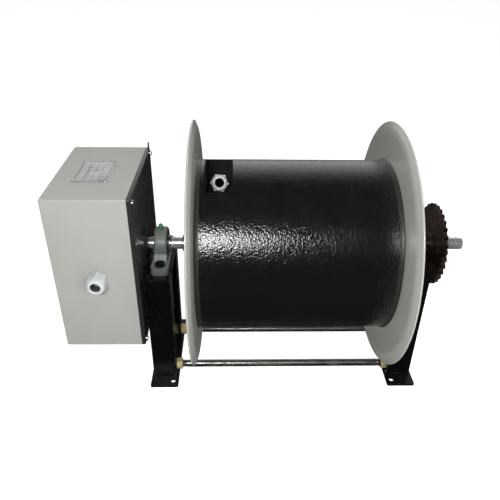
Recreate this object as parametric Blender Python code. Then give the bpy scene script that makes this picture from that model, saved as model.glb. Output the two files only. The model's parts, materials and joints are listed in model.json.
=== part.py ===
"""Chain-driven cable reel with a slip-ring box, built as an assembly of separate solids.

X runs along the shaft, with the slip-ring box at -X and the drive sprocket at +X. Y runs from front to
back and Z up. Inside this file every piece is placed from the middle of the drum on the shaft's axis; two
empties carry that point to its height above the floor. The reel turns on the empty named drum_axis.
"""
from math import cos, radians, sin, pi, sqrt

import bmesh
import bpy
from mathutils import Matrix, Vector

# ---------------------------------------------------------------- driving dimensions, in metres
TOUCH = 0.0003              # gap left between two pieces that seat on each other
SHARP = radians(32)         # edges steeper than this stay sharp

# drum
DRUM_WIDTH = 0.377          # winding width between the flanges
FLANGE_RADIUS = 0.250
FLANGE_SHEET = 0.004
FLARE_WIDTH = 0.022         # width of the rim that leans outward
FLARE_DEPTH = 0.0055
FLARE_STEPS = 3
WINDING_DEPTH = 0.0775      # flanges above the barrel
BARREL_WALL = 0.003
DRUM_SIDES = 64
FLOOR_CLEAR = 0.050         # flanges above the floor

# cable gland, PG21; its other radii follow from the flats
GLAND_FLATS = 0.033
GLAND_THREAD_STEP = 0.00235  # thread's radius under half of the flats
GLAND_CAP_WALL = 0.004
GLAND_BODY_WALL = 0.0025
GLAND_HOLE_STEP = 0.001     # hole in the cap under the body's bore, in radius
GLAND_SEAL_LIP = 0.0015     # seal's hole under the cap's hole, in radius
GLAND_SEAL_ROOM = 0.0012    # wall of the body's neck around the seal
GLAND_INSIDE = 0.0125       # thread behind the wall
GLAND_FLANGE = 0.0055
GLAND_NECK = 0.0145
GLAND_LENGTH = 0.0275
GLAND_FRONT = 0.004         # thickness of the cap's front
GLAND_CROWN = 0.006         # height of the cap's cone
GLAND_CROWN_EDGE = 0.49     # cone's radii, in flats
GLAND_CROWN_TOP = 0.37
GLAND_LOCKNUT_EXTRA = 0.003  # locknut's flats over the gland's
GLAND_LOCKNUT = 0.005
GLAND_WALL_HOLE = 1.0212    # hole in the wall that a gland sits in, in thread radii
GLAND_SIDES = 18

# recessed pocket for the cable entry; its angles rise from the front, towards the top
POCKET_FROM_FLANGE = 0.0425  # pocket's middle from the left flange
POCKET_SIDE_ROOM = 0.006    # between the gland's corners and the pocket's sides
POCKET_FLOOR_ROOM = 0.0021  # between the gland's corners and the pocket's floor
POCKET_SHEET = 0.002
POCKET_LIP_ANGLE = radians(62)
POCKET_WALL_ANGLE = radians(115)

# shaft and hubs; every bore on the shaft follows from its radius
SHAFT_RADIUS = 0.0125
SHAFT_WALL = 0.0055         # around the wires' bore
SHAFT_PAST_SPROCKET = 0.063
SHAFT_END_ROOM = 0.0218     # from the shaft's end to the outside of the box
WIRE_EXIT_PAST_HUB = 0.0142
WIRE_EXIT_SHARE = 0.8       # radius of the wires' way out, in bores
HUB_WALL = 0.0055
HUB_PLATE_RADIUS = 0.045
HUB_PLATE = 0.008
HUB_OUTSIDE = 0.030         # hub standing out past the flange
HUB_INSIDE = 0.014          # hub standing into the barrel past its plate

# stands: two angle uprights, a top plate and a foot, welded
LEFT_STAND_GAP = 0.0565     # from the drum's left face to the uprights
RIGHT_STAND_GAP = 0.0415
STAND_DEPTH = 0.160
LEG_WIDTH = 0.050
LEG_RETURN = 0.040
LEG_STEEL = 0.005
TOP_PLATE_EXTRA = 0.010     # top plate longer than the stand is deep
TOP_PLATE_STEEL = 0.006
TOP_PLATE_LEDGE = 0.001     # top plate past the uprights' face
FOOT_EXTRA = 0.070          # foot longer than the stand is deep
FOOT_WIDTH = 0.060
FOOT_STEEL = 0.005
FOOT_LEDGE = 0.0065         # foot past the uprights' face
FOOT_HOLE_RADIUS = 0.0055
FOOT_HOLE_FROM_END = 0.0155
FOOT_HOLE_FROM_FACE = 0.0055  # from the uprights' face, outward

# tie rods
ROD_RADIUS = 0.008
ROD_BELOW_FLANGE = 0.031    # rods' axis under the flanges
ROD_OVERHANG = 0.012        # thread left past the outer nut
ROD_HOLE_ROOM = 0.0006
ROD_NUT_FLATS = 0.022
ROD_NUT_THICKNESS = 0.013

# pillow block bearings, 25 mm bore
INNER_RING_WALL = 0.0045
INNER_RING_SHORT = 0.0143
INNER_RING_LONG = 0.0197    # the end with the set screws, towards the drum
RING_ROOM = 0.009           # for the balls and the shields, between the rings' outsides
OUTER_RING_WIDTH = 0.017
SHIELD_GAP = 0.0005
BEARING_WALL = 0.0085       # casting around the outer ring
BEARING_UNDER = 0.002       # casting's round body above the seat
BEARING_BASE_WIDTH = 0.036
BEARING_BASE = 0.015
BEARING_BODY_WIDTH = 0.026
BEARING_NECK_SHARE = 0.97   # neck's thickness, in bodies
BEARING_CHEEK = 0.94        # neck's half width at the axis, in body radii
BEARING_OFFSET = 0.004      # bearing from the uprights' middle, towards the drum
BEARING_BOLT_INSET = 0.0175  # bolts from the casting's ends
BEARING_BOLT_OUT = 0.018    # bolts outside the round body
BEARING_BOLT_RADIUS = 0.005
BEARING_BOLT_FLATS = 0.017
BEARING_BOLT_HEAD = 0.0064
BEARING_BOLT_END = 0.014    # bolt below the top plate
BOLT_CLEARANCE = 0.0006
BOLT_HEAD_ROOM = 0.001      # between a bolt's head and the casting's flank
GREASE_CAP_RADIUS = 0.0055
GREASE_CAP_HEIGHT = 0.011

# slip-ring box
BOX_LENGTH = 0.1505
BOX_DEPTH = 0.255
BOX_HEIGHT = 0.3275
BOX_CENTRE_Z = -0.0025
BOX_GLAND_RIGHT = 0.007     # gland in the cover's front, from the front's middle
BOX_GLAND_LOW = 0.003
BOX_SHEET = 0.0015
BOX_LIP = 0.016             # return of the cover around its open side
GASKET = 0.003
PAN_DEPTH = 0.008
PAN_SHEET = 0.002
SHAFT_SEAL_WALL = 0.0127
SHAFT_SEAL_LIP = 0.004      # seal's flanges outside its hole, in radius
SHAFT_SEAL_GAP = 0.0008
SCREW_RADIUS = 0.0025
SCREW_HEAD_RADIUS = 0.0042
SCREW_HEAD = 0.003
SCREW_WASHER_RADIUS = 0.0065
SCREW_WASHER = 0.001
SCREW_INSET = 0.010         # screw from the box's edges
SCREW_REACH = 0.005         # screw past the cover's lip
TAB_HEIGHT = 0.015
TAB_WIDTH = 0.012
NAME_PLATE_LENGTH = 0.067
NAME_PLATE_DEPTH = 0.100
NAME_PLATE_SHEET = 0.001
NAME_PLATE_FROM_LEFT = 0.038
NAME_PLATE_FROM_FRONT = 0.0735

# slip rings and brushes
RING_COUNT = 4
RING_END_ROOM = 0.0785      # box length not taken up by the rings' spacing
RING_WIDTH = 0.011
RING_WALL = 0.0115
CORE_WALL = 0.018
CORE_END = 0.008            # core past the outer rings
BRUSH_SIZE = 0.008
BRUSH_LENGTH = 0.018
BRUSH_BAR_DEPTH = 0.014
BRUSH_BAR_HEIGHT = 0.030
TERMINAL_LENGTH = 0.030
TERMINAL_DEPTH = 0.100
TERMINAL_HEIGHT = 0.024
TERMINAL_FROM_FLOOR = 0.022

# drive sprocket
SPROCKET_TEETH = 32
CHAIN_PITCH = 0.015875
CHAIN_ROLLER = 0.01016
TOOTH_TIP = 0.27            # tooth's tip outside the pitch circle, in pitches
TOOTH_SEAT = 0.15           # edge of a roller's seat above its root, in rollers
SPROCKET_GAP = 0.020        # from the right stand to the teeth's middle
SPROCKET_WIDTH = 0.0091
SPROCKET_HUB_WALL = 0.0075
SPROCKET_HUB = 0.015
KEY_WIDTH = 0.008
KEY_HEIGHT = 0.007
KEY_DEPTH = 0.004           # key sunk in the shaft

# ---------------------------------------------------------------- places that follow from them
FLANGE_FACE = DRUM_WIDTH / 2
FLARE_RADIUS = FLANGE_RADIUS - FLARE_WIDTH
BARREL_RADIUS = FLANGE_RADIUS - WINDING_DEPTH
AXIS_HEIGHT = FLANGE_RADIUS + FLOOR_CLEAR
FLOOR = -AXIS_HEIGHT
ROD_HEIGHT = -(FLANGE_RADIUS + ROD_BELOW_FLANGE)
LEFT_STAND_FACE = -(FLANGE_FACE + LEFT_STAND_GAP)   # uprights' face on the drum's side
RIGHT_STAND_FACE = FLANGE_FACE + RIGHT_STAND_GAP

GLAND_CORNER = GLAND_FLATS / sqrt(3)
GLAND_THREAD_RADIUS = GLAND_FLATS / 2 - GLAND_THREAD_STEP
GLAND_NECK_RADIUS = GLAND_FLATS / 2 - GLAND_CAP_WALL
GLAND_BORE_RADIUS = GLAND_NECK_RADIUS - GLAND_BODY_WALL
GLAND_HOLE_RADIUS = GLAND_BORE_RADIUS - GLAND_HOLE_STEP
GLAND_SEAL_RADIUS = GLAND_HOLE_RADIUS - GLAND_SEAL_LIP
POCKET_X = -FLANGE_FACE + POCKET_FROM_FLANGE
POCKET_WIDTH = 2 * (GLAND_CORNER + POCKET_SIDE_ROOM)
POCKET_FLOOR = BARREL_RADIUS * cos(POCKET_WALL_ANGLE - POCKET_LIP_ANGLE)
POCKET_GLAND_RADIUS = POCKET_FLOOR + GLAND_CORNER + POCKET_FLOOR_ROOM

HUB_RADIUS = SHAFT_RADIUS + HUB_WALL
INNER_RING_RADIUS = SHAFT_RADIUS + INNER_RING_WALL
OUTER_RING_RADIUS = INNER_RING_RADIUS + RING_ROOM
BEARING_BODY_RADIUS = OUTER_RING_RADIUS + BEARING_WALL
BEARING_HEIGHT = BEARING_BODY_RADIUS + BEARING_UNDER
BEARING_BOLTS = 2 * (BEARING_BODY_RADIUS + BEARING_BOLT_OUT)
BEARING_LENGTH = BEARING_BOLTS + 2 * BEARING_BOLT_INSET
BEARING_SHOULDER = BEARING_BOLTS / 2 - BEARING_BOLT_FLATS / sqrt(3) - BOLT_HEAD_ROOM
LEFT_BEARING_X = LEFT_STAND_FACE - LEG_WIDTH / 2 + BEARING_OFFSET
RIGHT_BEARING_X = RIGHT_STAND_FACE + LEG_WIDTH / 2 - BEARING_OFFSET
SEAT = -BEARING_HEIGHT                      # top face of both stands

BOX_RIGHT = LEFT_STAND_FACE - LEG_WIDTH - TOUCH - PAN_DEPTH
BOX_LEFT = BOX_RIGHT - BOX_LENGTH
BOX_LOW = BOX_CENTRE_Z - BOX_HEIGHT / 2
BOX_TOP = BOX_CENTRE_Z + BOX_HEIGHT / 2
PAN_OUTER = BOX_RIGHT + PAN_DEPTH
PAN_INNER = PAN_OUTER - PAN_SHEET
SHAFT_SEAL_BORE = SHAFT_RADIUS + SHAFT_SEAL_GAP
SHAFT_SEAL_RADIUS = SHAFT_SEAL_BORE + SHAFT_SEAL_WALL
RING_SPACING = (BOX_LENGTH - RING_END_ROOM) / (RING_COUNT - 1)
RING_BORE_RADIUS = SHAFT_RADIUS + CORE_WALL
RING_RADIUS = RING_BORE_RADIUS + RING_WALL

SPROCKET_X = RIGHT_STAND_FACE + LEG_WIDTH + SPROCKET_GAP
SPROCKET_HUB_RADIUS = SHAFT_RADIUS + SPROCKET_HUB_WALL
SHAFT_RIGHT_END = SPROCKET_X + SHAFT_PAST_SPROCKET
SHAFT_LEFT_END = BOX_LEFT + SHAFT_END_ROOM
SHAFT_BORE_RADIUS = SHAFT_RADIUS - SHAFT_WALL
WIRE_EXIT_X = -FLANGE_FACE + TOUCH + HUB_PLATE + HUB_INSIDE + WIRE_EXIT_PAST_HUB
FAR_OUT = 2 * BARREL_RADIUS                 # far enough to reach out of the barrel


# ---------------------------------------------------------------- modelling helpers
def clear_scene():
    for item in list(bpy.data.objects):
        bpy.data.objects.remove(item, do_unlink=True)


def material(name, colour, roughness, metallic=0.0):
    """Principled material with one colour."""
    result = bpy.data.materials.new(name)
    result.use_nodes = True
    shader = result.node_tree.nodes["Principled BSDF"]
    shader.inputs["Base Color"].default_value = (*colour, 1.0)
    shader.inputs["Roughness"].default_value = roughness
    shader.inputs["Metallic"].default_value = metallic
    return result


def carrier(name):
    """Empty on the shaft's axis, in the middle of the drum."""
    result = bpy.data.objects.new(name, None)
    result.location = (-(BOX_LEFT + SHAFT_RIGHT_END) / 2, 0, AXIS_HEIGHT)
    bpy.context.collection.objects.link(result)
    return result


def finish(name, mesh, look, parent, location=(0, 0, 0), direction=None):
    """Object from a bmesh, with its faces turned out; direction says where its +X points."""
    bmesh.ops.recalc_face_normals(mesh, faces=mesh.faces)
    if mesh.calc_volume(signed=True) < 0:
        bmesh.ops.reverse_faces(mesh, faces=mesh.faces)
    data = bpy.data.meshes.new(name)
    mesh.to_mesh(data)
    mesh.free()
    data.shade_smooth()
    data.set_sharp_from_angle(angle=SHARP)
    result = bpy.data.objects.new(name, data)
    if look:
        data.materials.append(look)
    result.location = location
    if direction:
        result.rotation_euler = Vector((1, 0, 0)).rotation_difference(Vector(direction)).to_euler()
    result.parent = parent
    bpy.context.collection.objects.link(result)
    return result


def block(name, low, high, look=None, parent=None):
    """Box between two corners, with its origin in its middle."""
    low, high = Vector(low), Vector(high)
    mesh = bmesh.new()
    bmesh.ops.create_cube(mesh, size=1.0)
    bmesh.ops.scale(mesh, vec=high - low, verts=mesh.verts)
    return finish(name, mesh, look, parent, (low + high) / 2)


def rod(name, radius, start, end, look=None, parent=None, sides=16):
    """Plain cylinder between two points."""
    start, end = Vector(start), Vector(end)
    mesh = bmesh.new()
    turn = Matrix.Rotation(pi / 2, 4, "Y")
    bmesh.ops.create_cone(mesh, cap_ends=True, segments=sides, radius1=radius, radius2=radius,
                          depth=(end - start).length, matrix=turn)
    return finish(name, mesh, look, parent, (start + end) / 2, end - start)


def turned(name, profile, look, parent, location=(0, 0, 0), direction=None, sides=24):
    """Ring turned about X from a closed profile of (x, radius) points."""
    mesh = bmesh.new()
    points = [mesh.verts.new((x, 0, radius)) for x, radius in profile]
    edges = [mesh.edges.new((point, points[i - 1])) for i, point in enumerate(points)]
    bmesh.ops.spin(mesh, geom=points + edges, cent=(0, 0, 0), axis=(1, 0, 0), angle=2 * pi,
                   steps=sides, use_merge=True)
    return finish(name, mesh, look, parent, location, direction)


def circle(radius, sides):
    return [(radius * cos(2 * pi * i / sides), radius * sin(2 * pi * i / sides)) for i in range(sides)]


def hexagon(flats, sides):
    """Hexagon with as many points as a circle it is bridged to; sides is a multiple of six."""
    points = []
    for i in range(sides):
        angle = 2 * pi * i / sides
        radius = flats / 2 / cos((angle + pi / 6) % (pi / 3) - pi / 6)
        points.append((radius * cos(angle), radius * sin(angle)))
    return points


def bridged(sections, closed):
    """Mesh through outlines (x, points) with equal counts: a ring if closed, else capped at both ends."""
    mesh = bmesh.new()
    loops = [[mesh.verts.new((x, *point)) for point in points] for x, points in sections]
    pairs = list(zip(loops, loops[1:] + loops[:1])) if closed else list(zip(loops, loops[1:]))
    for first, second in pairs:
        for i in range(len(first)):
            mesh.faces.new((first[i - 1], first[i], second[i], second[i - 1]))
    if not closed:
        mesh.faces.new(loops[0])
        mesh.faces.new(loops[-1])
    return mesh


def nut(name, flats, bore, x, look, parent, yz=(0, 0), sides=12):
    """Hexagon nut on an axis along X, from x[0] to x[1]."""
    outside, inside = hexagon(flats, sides), circle(bore, sides)
    length = x[1] - x[0]
    mesh = bridged([(0, outside), (length, outside), (length, inside), (0, inside)], closed=True)
    return finish(name, mesh, look, parent, (x[0], *yz))


def combine(target, tools, operation):
    """Boolean each tool into the target in turn, then remove the tools."""
    for tool in tools:
        change = target.modifiers.new(operation.title(), "BOOLEAN")
        change.operation = operation
        change.object = tool
        change.solver = "EXACT"
        tool.hide_render = True
        tool.display_type = "WIRE"
    bpy.context.view_layer.update()
    shaped = target.evaluated_get(bpy.context.evaluated_depsgraph_get())
    data = bpy.data.meshes.new_from_object(shaped)
    look = target.data.materials[0] if target.data.materials else None
    target.modifiers.clear()
    target.data = data
    data.materials.clear()
    if look:
        data.materials.append(look)
    data.set_sharp_from_angle(angle=SHARP)
    for tool in tools:
        bpy.data.objects.remove(tool, do_unlink=True)
    return target


def cut(target, *tools):
    return combine(target, tools, "DIFFERENCE")


def weld(target, *tools):
    return combine(target, tools, "UNION")


# ---------------------------------------------------------------- frame
def build_stand(name, face, look, parent):
    """Two angle uprights between a foot and a top plate; face is the side towards the drum."""
    out = 1 if face > 0 else -1
    half = STAND_DEPTH / 2
    low, high = FLOOR + FOOT_STEEL / 2, SEAT - TOP_PLATE_STEEL / 2

    def plate(length, width, ledge, bottom, top):
        near, far = face - out * ledge, face + out * (width - ledge)
        return block(name, (min(near, far), -length / 2, bottom), (max(near, far), length / 2, top),
                     look, parent)

    def upright(side):
        corners = [(face, side * half), (face + out * LEG_WIDTH, side * half),
                   (face + out * LEG_WIDTH, side * (half - LEG_STEEL)),
                   (face + out * LEG_STEEL, side * (half - LEG_STEEL)),
                   (face + out * LEG_STEEL, side * (half - LEG_RETURN)),
                   (face, side * (half - LEG_RETURN))]
        mesh = bmesh.new()
        outline = mesh.faces.new([mesh.verts.new((x, y, low)) for x, y in corners])
        raised = bmesh.ops.extrude_face_region(mesh, geom=[outline])["geom"]
        tops = [item for item in raised if isinstance(item, bmesh.types.BMVert)]
        bmesh.ops.translate(mesh, vec=(0, 0, high - low), verts=tops)
        return finish("upright", mesh, None, parent)

    foot_length = STAND_DEPTH + FOOT_EXTRA
    foot = plate(foot_length, FOOT_WIDTH, FOOT_LEDGE, FLOOR, FLOOR + FOOT_STEEL)
    top = plate(STAND_DEPTH + TOP_PLATE_EXTRA, LEG_WIDTH + TOP_PLATE_LEDGE / 2, TOP_PLATE_LEDGE,
                SEAT - TOP_PLATE_STEEL, SEAT)
    stand = weld(foot, upright(-1), upright(1), top)
    stand.name = name

    holes = []
    bearing_x = LEFT_BEARING_X if face < 0 else RIGHT_BEARING_X
    for side in (-1, 1):
        rod_y = side * (half - LEG_RETURN / 2)
        foot_x = face + out * FOOT_HOLE_FROM_FACE
        foot_y = side * (foot_length / 2 - FOOT_HOLE_FROM_END)
        bolt_y = side * BEARING_BOLTS / 2
        bolt_hole = BEARING_BOLT_RADIUS + BOLT_CLEARANCE
        holes += [
            rod("hole", ROD_RADIUS + ROD_HOLE_ROOM, (face - LEG_STEEL, rod_y, ROD_HEIGHT),
                (face + LEG_STEEL, rod_y, ROD_HEIGHT), None, parent),
            rod("hole", FOOT_HOLE_RADIUS, (foot_x, foot_y, FLOOR - FOOT_STEEL),
                (foot_x, foot_y, FLOOR + 2 * FOOT_STEEL), None, parent),
            rod("hole", bolt_hole, (bearing_x, bolt_y, SEAT - 2 * TOP_PLATE_STEEL),
                (bearing_x, bolt_y, SEAT + TOP_PLATE_STEEL), None, parent)]
    return cut(stand, *holes)


def build_tie_rods(steel, zinc, parent):
    """Two rods through the uprights' returns, each clamped by a nut on both sides of both stands."""
    reach = LEG_STEEL + TOUCH + ROD_NUT_THICKNESS + ROD_OVERHANG
    for side, place in ((-1, "front"), (1, "rear")):
        y = side * (STAND_DEPTH / 2 - LEG_RETURN / 2)
        rod(f"tie_rod_{place}", ROD_RADIUS, (LEFT_STAND_FACE - reach, y, ROD_HEIGHT),
            (RIGHT_STAND_FACE + reach, y, ROD_HEIGHT), steel, parent, sides=20)
        for face, end in ((LEFT_STAND_FACE, "left"), (RIGHT_STAND_FACE, "right")):
            out = 1 if face > 0 else -1
            inner = face - out * TOUCH
            outer = face + out * (LEG_STEEL + TOUCH)
            spans = {"inner": (inner, inner - out * ROD_NUT_THICKNESS),
                     "outer": (outer, outer + out * ROD_NUT_THICKNESS)}
            for where, span in spans.items():
                nut(f"tie_nut_{place}_{end}_{where}", ROD_NUT_FLATS, ROD_RADIUS + TOUCH,
                    (min(span), max(span)), zinc, parent, (y, ROD_HEIGHT))


# ---------------------------------------------------------------- bearings
def build_bearing(side, x, inward, looks, fixed, turning):
    """Pillow block with its insert bearing; inward is +1 where the drum lies towards +X."""
    base_top = SEAT + BEARING_BASE
    half_width = BEARING_BASE_WIDTH / 2
    housing = block(f"{side}_bearing_housing", (x - half_width, -BEARING_LENGTH / 2, SEAT + TOUCH),
                    (x + half_width, BEARING_LENGTH / 2, base_top), looks["casting"], fixed)
    half_body = BEARING_BODY_WIDTH / 2
    root = base_top - BEARING_BASE / 2
    cheek, half_neck = BEARING_BODY_RADIUS * BEARING_CHEEK, half_body * BEARING_NECK_SHARE
    slope = [(-BEARING_SHOULDER, root), (BEARING_SHOULDER, root), (BEARING_SHOULDER, base_top), (cheek, 0),
             (-cheek, 0), (-BEARING_SHOULDER, base_top)]
    neck_mesh = bridged([(x - half_neck, slope), (x + half_neck, slope)], closed=False)
    neck = finish("neck", neck_mesh, None, fixed)
    body = rod("body", BEARING_BODY_RADIUS, (x - half_body, 0, 0), (x + half_body, 0, 0), None, fixed, 32)
    weld(housing, neck, body)
    bore = rod("bore", OUTER_RING_RADIUS + TOUCH, (x - half_width, 0, 0), (x + half_width, 0, 0),
               None, fixed, 32)
    bolt_holes = [rod("bolt_hole", BEARING_BOLT_RADIUS + BOLT_CLEARANCE,
                      (x, end * BEARING_BOLTS / 2, SEAT - BEARING_BASE),
                      (x, end * BEARING_BOLTS / 2, base_top + BEARING_BASE), None, fixed, 16)
                  for end in (-1, 1)]
    cut(housing, bore, *bolt_holes)

    half_ring = OUTER_RING_WIDTH / 2
    shield = INNER_RING_RADIUS + SHIELD_GAP
    turned(f"{side}_bearing_outer_ring",
           [(-half_ring, shield), (half_ring, shield), (half_ring, OUTER_RING_RADIUS - 2 * TOUCH),
            (0, OUTER_RING_RADIUS), (-half_ring, OUTER_RING_RADIUS - 2 * TOUCH)],
           looks["steel"], fixed, (x, 0, 0))
    near, far = -inward * INNER_RING_SHORT, inward * INNER_RING_LONG
    bore_radius = SHAFT_RADIUS + TOUCH
    turned(f"{side}_bearing_inner_ring",
           [(near, bore_radius), (far, bore_radius), (far, INNER_RING_RADIUS), (near, INNER_RING_RADIUS)],
           looks["steel"], turning, (x, 0, 0))
    crown = BEARING_BODY_RADIUS + TOUCH
    rod(f"{side}_grease_cap", GREASE_CAP_RADIUS, (x, 0, crown), (x, 0, crown + GREASE_CAP_HEIGHT),
        looks["green"], fixed, 16)
    for end, place in ((-1, "front"), (1, "rear")):
        y = end * BEARING_BOLTS / 2
        head = rod(f"{side}_bearing_bolt_{place}", BEARING_BOLT_FLATS / sqrt(3), (x, y, base_top + TOUCH),
                   (x, y, base_top + TOUCH + BEARING_BOLT_HEAD), looks["black_bolt"], fixed, sides=6)
        shank = rod("shank", BEARING_BOLT_RADIUS, (x, y, SEAT - TOP_PLATE_STEEL - BEARING_BOLT_END),
                    (x, y, base_top + BEARING_BOLT_HEAD / 2), None, fixed, sides=12)
        weld(head, shank)


# ---------------------------------------------------------------- drum
def pocket_frame():
    """Directions in the drum's section: out of the gland's wall, and outward along that wall."""
    outward = Vector((0, -cos(POCKET_WALL_ANGLE), sin(POCKET_WALL_ANGLE)))
    facing = Vector((0, -sin(POCKET_WALL_ANGLE), -cos(POCKET_WALL_ANGLE)))
    return facing, outward


def pocket_prism(name, grow, parent):
    """Room of the pocket as a prism along X, grown on the floor, the gland's wall and both sides."""
    facing, outward = pocket_frame()
    floor = POCKET_FLOOR
    corners = [(-grow, floor - grow), (FAR_OUT, floor - grow), (FAR_OUT, FAR_OUT),
               (-grow, FAR_OUT)]
    outline = [(facing * along + outward * up).yz for along, up in corners]
    half = POCKET_WIDTH / 2 + grow
    mesh = bridged([(POCKET_X - half, outline), (POCKET_X + half, outline)], closed=False)
    return finish(name, mesh, None, parent)


def build_drum(looks, parent):
    """Barrel with its recessed pocket, two flared flanges and the hubs that hold them on the shaft."""
    length = FLANGE_FACE - TOUCH
    inner = BARREL_RADIUS - BARREL_WALL
    barrel = turned("barrel", [(-length, inner), (length, inner), (length, BARREL_RADIUS),
                               (-length, BARREL_RADIUS)], looks["black"], parent, sides=DRUM_SIDES)
    cut(barrel, pocket_prism("pocket_room", POCKET_SHEET + TOUCH, parent))

    facing, outward = pocket_frame()
    pocket = pocket_prism("cable_pocket", POCKET_SHEET, parent)
    pocket.data.materials.append(looks["black"])
    half = POCKET_WIDTH
    trim = rod("trim", BARREL_RADIUS, (POCKET_X - half, 0, 0), (POCKET_X + half, 0, 0), None, parent,
               DRUM_SIDES)
    combine(pocket, [trim], "INTERSECT")
    seat = outward * POCKET_GLAND_RADIUS + Vector((POCKET_X, 0, 0))
    hole = rod("gland_hole", GLAND_THREAD_RADIUS * GLAND_WALL_HOLE, seat - facing * 2 * POCKET_SHEET,
               seat + facing * POCKET_SHEET, None, parent)
    cut(pocket, pocket_prism("room", 0, parent), hole)
    build_gland("drum", seat, facing, looks, parent)

    for side, out in (("left", -1), ("right", 1)):
        lean = [(FLARE_DEPTH * (i / FLARE_STEPS) ** 2, FLARE_RADIUS + FLARE_WIDTH * i / FLARE_STEPS)
                for i in range(FLARE_STEPS + 1)]
        hole_radius = HUB_RADIUS + TOUCH
        profile = [(0, hole_radius)] + lean
        profile += [(depth + FLANGE_SHEET, radius) for depth, radius in reversed(lean)]
        profile += [(FLANGE_SHEET, hole_radius)]
        turned(f"{side}_flange", [(out * depth, radius) for depth, radius in profile], looks["cream"],
               parent, (out * FLANGE_FACE, 0, 0), sides=DRUM_SIDES)
        bore = SHAFT_RADIUS + TOUCH
        outside = FLANGE_SHEET + HUB_OUTSIDE
        inside = -TOUCH - HUB_PLATE
        chamfer = HUB_RADIUS - bore
        hub = [(outside, bore + chamfer / 4), (outside - chamfer, HUB_RADIUS), (-TOUCH, HUB_RADIUS),
               (-TOUCH, HUB_PLATE_RADIUS), (inside, HUB_PLATE_RADIUS), (inside, HUB_RADIUS),
               (inside - HUB_INSIDE, HUB_RADIUS), (inside - HUB_INSIDE, bore), (outside, bore)]
        turned(f"{side}_hub", [(out * depth, radius) for depth, radius in hub], looks["steel"], parent,
               (out * FLANGE_FACE, 0, 0))


def build_shaft(looks, parent):
    """Shaft, hollow from its left end to the wires' way out inside the drum, keyed at its right end."""
    shaft = rod("shaft", SHAFT_RADIUS, (SHAFT_LEFT_END, 0, 0), (SHAFT_RIGHT_END, 0, 0), looks["steel"],
                parent, sides=32)
    bore = rod("bore", SHAFT_BORE_RADIUS, (SHAFT_LEFT_END - SHAFT_BORE_RADIUS, 0, 0),
               (WIRE_EXIT_X + SHAFT_BORE_RADIUS, 0, 0), None, parent, sides=16)
    way_out = rod("way_out", SHAFT_BORE_RADIUS * WIRE_EXIT_SHARE, (WIRE_EXIT_X, 0, 0),
                  (WIRE_EXIT_X, 0, 2 * SHAFT_RADIUS), None, parent, sides=12)
    cut(shaft, bore, way_out, key_block("keyway", TOUCH, None, parent))
    key_block("sprocket_key", 0, looks["steel"], parent)


def key_block(name, grow, look, parent):
    """Sprocket key, or the room for it."""
    left = SPROCKET_X - SPROCKET_WIDTH / 2 - SPROCKET_HUB
    right = SPROCKET_X + SPROCKET_WIDTH / 2
    bottom = SHAFT_RADIUS - KEY_DEPTH
    return block(name, (left - grow, -KEY_WIDTH / 2 - grow, bottom - grow),
                 (right + grow, KEY_WIDTH / 2 + grow, bottom + KEY_HEIGHT + grow), look, parent)


def tooth_outline():
    """Chain sprocket outline: seats for the rollers, straight flanks and narrow tips."""
    pitch_radius = CHAIN_PITCH / 2 / sin(pi / SPROCKET_TEETH)
    root = pitch_radius - CHAIN_ROLLER / 2
    tip = pitch_radius + TOOTH_TIP * CHAIN_PITCH
    seat_edge = root + TOOTH_SEAT * CHAIN_ROLLER
    steps = [(-0.50, root), (-0.29, seat_edge), (-0.08, tip), (0.08, tip), (0.29, seat_edge)]
    points = []
    for tooth in range(SPROCKET_TEETH):
        for phase, radius in steps:
            angle = 2 * pi * (tooth + phase) / SPROCKET_TEETH
            points.append((radius * cos(angle), radius * sin(angle)))
    return points


def build_sprocket(looks, parent):
    """Plate sprocket with a hub towards the right stand, keyed on the shaft."""
    outline = tooth_outline()
    half = SPROCKET_WIDTH / 2
    mesh = bridged([(-half, outline), (half, outline)], closed=False)
    sprocket = finish("sprocket", mesh, looks["sprocket"], parent, (SPROCKET_X, 0, 0))
    left = SPROCKET_X - half - SPROCKET_HUB
    hub = rod("hub", SPROCKET_HUB_RADIUS, (left, 0, 0), (SPROCKET_X, 0, 0), None, parent, sides=32)
    weld(sprocket, hub)
    bore = rod("bore", SHAFT_RADIUS + TOUCH, (left - half, 0, 0), (SPROCKET_X + SPROCKET_WIDTH, 0, 0),
               None, parent, sides=32)
    cut(sprocket, bore, key_block("keyway", TOUCH, None, parent))


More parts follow.
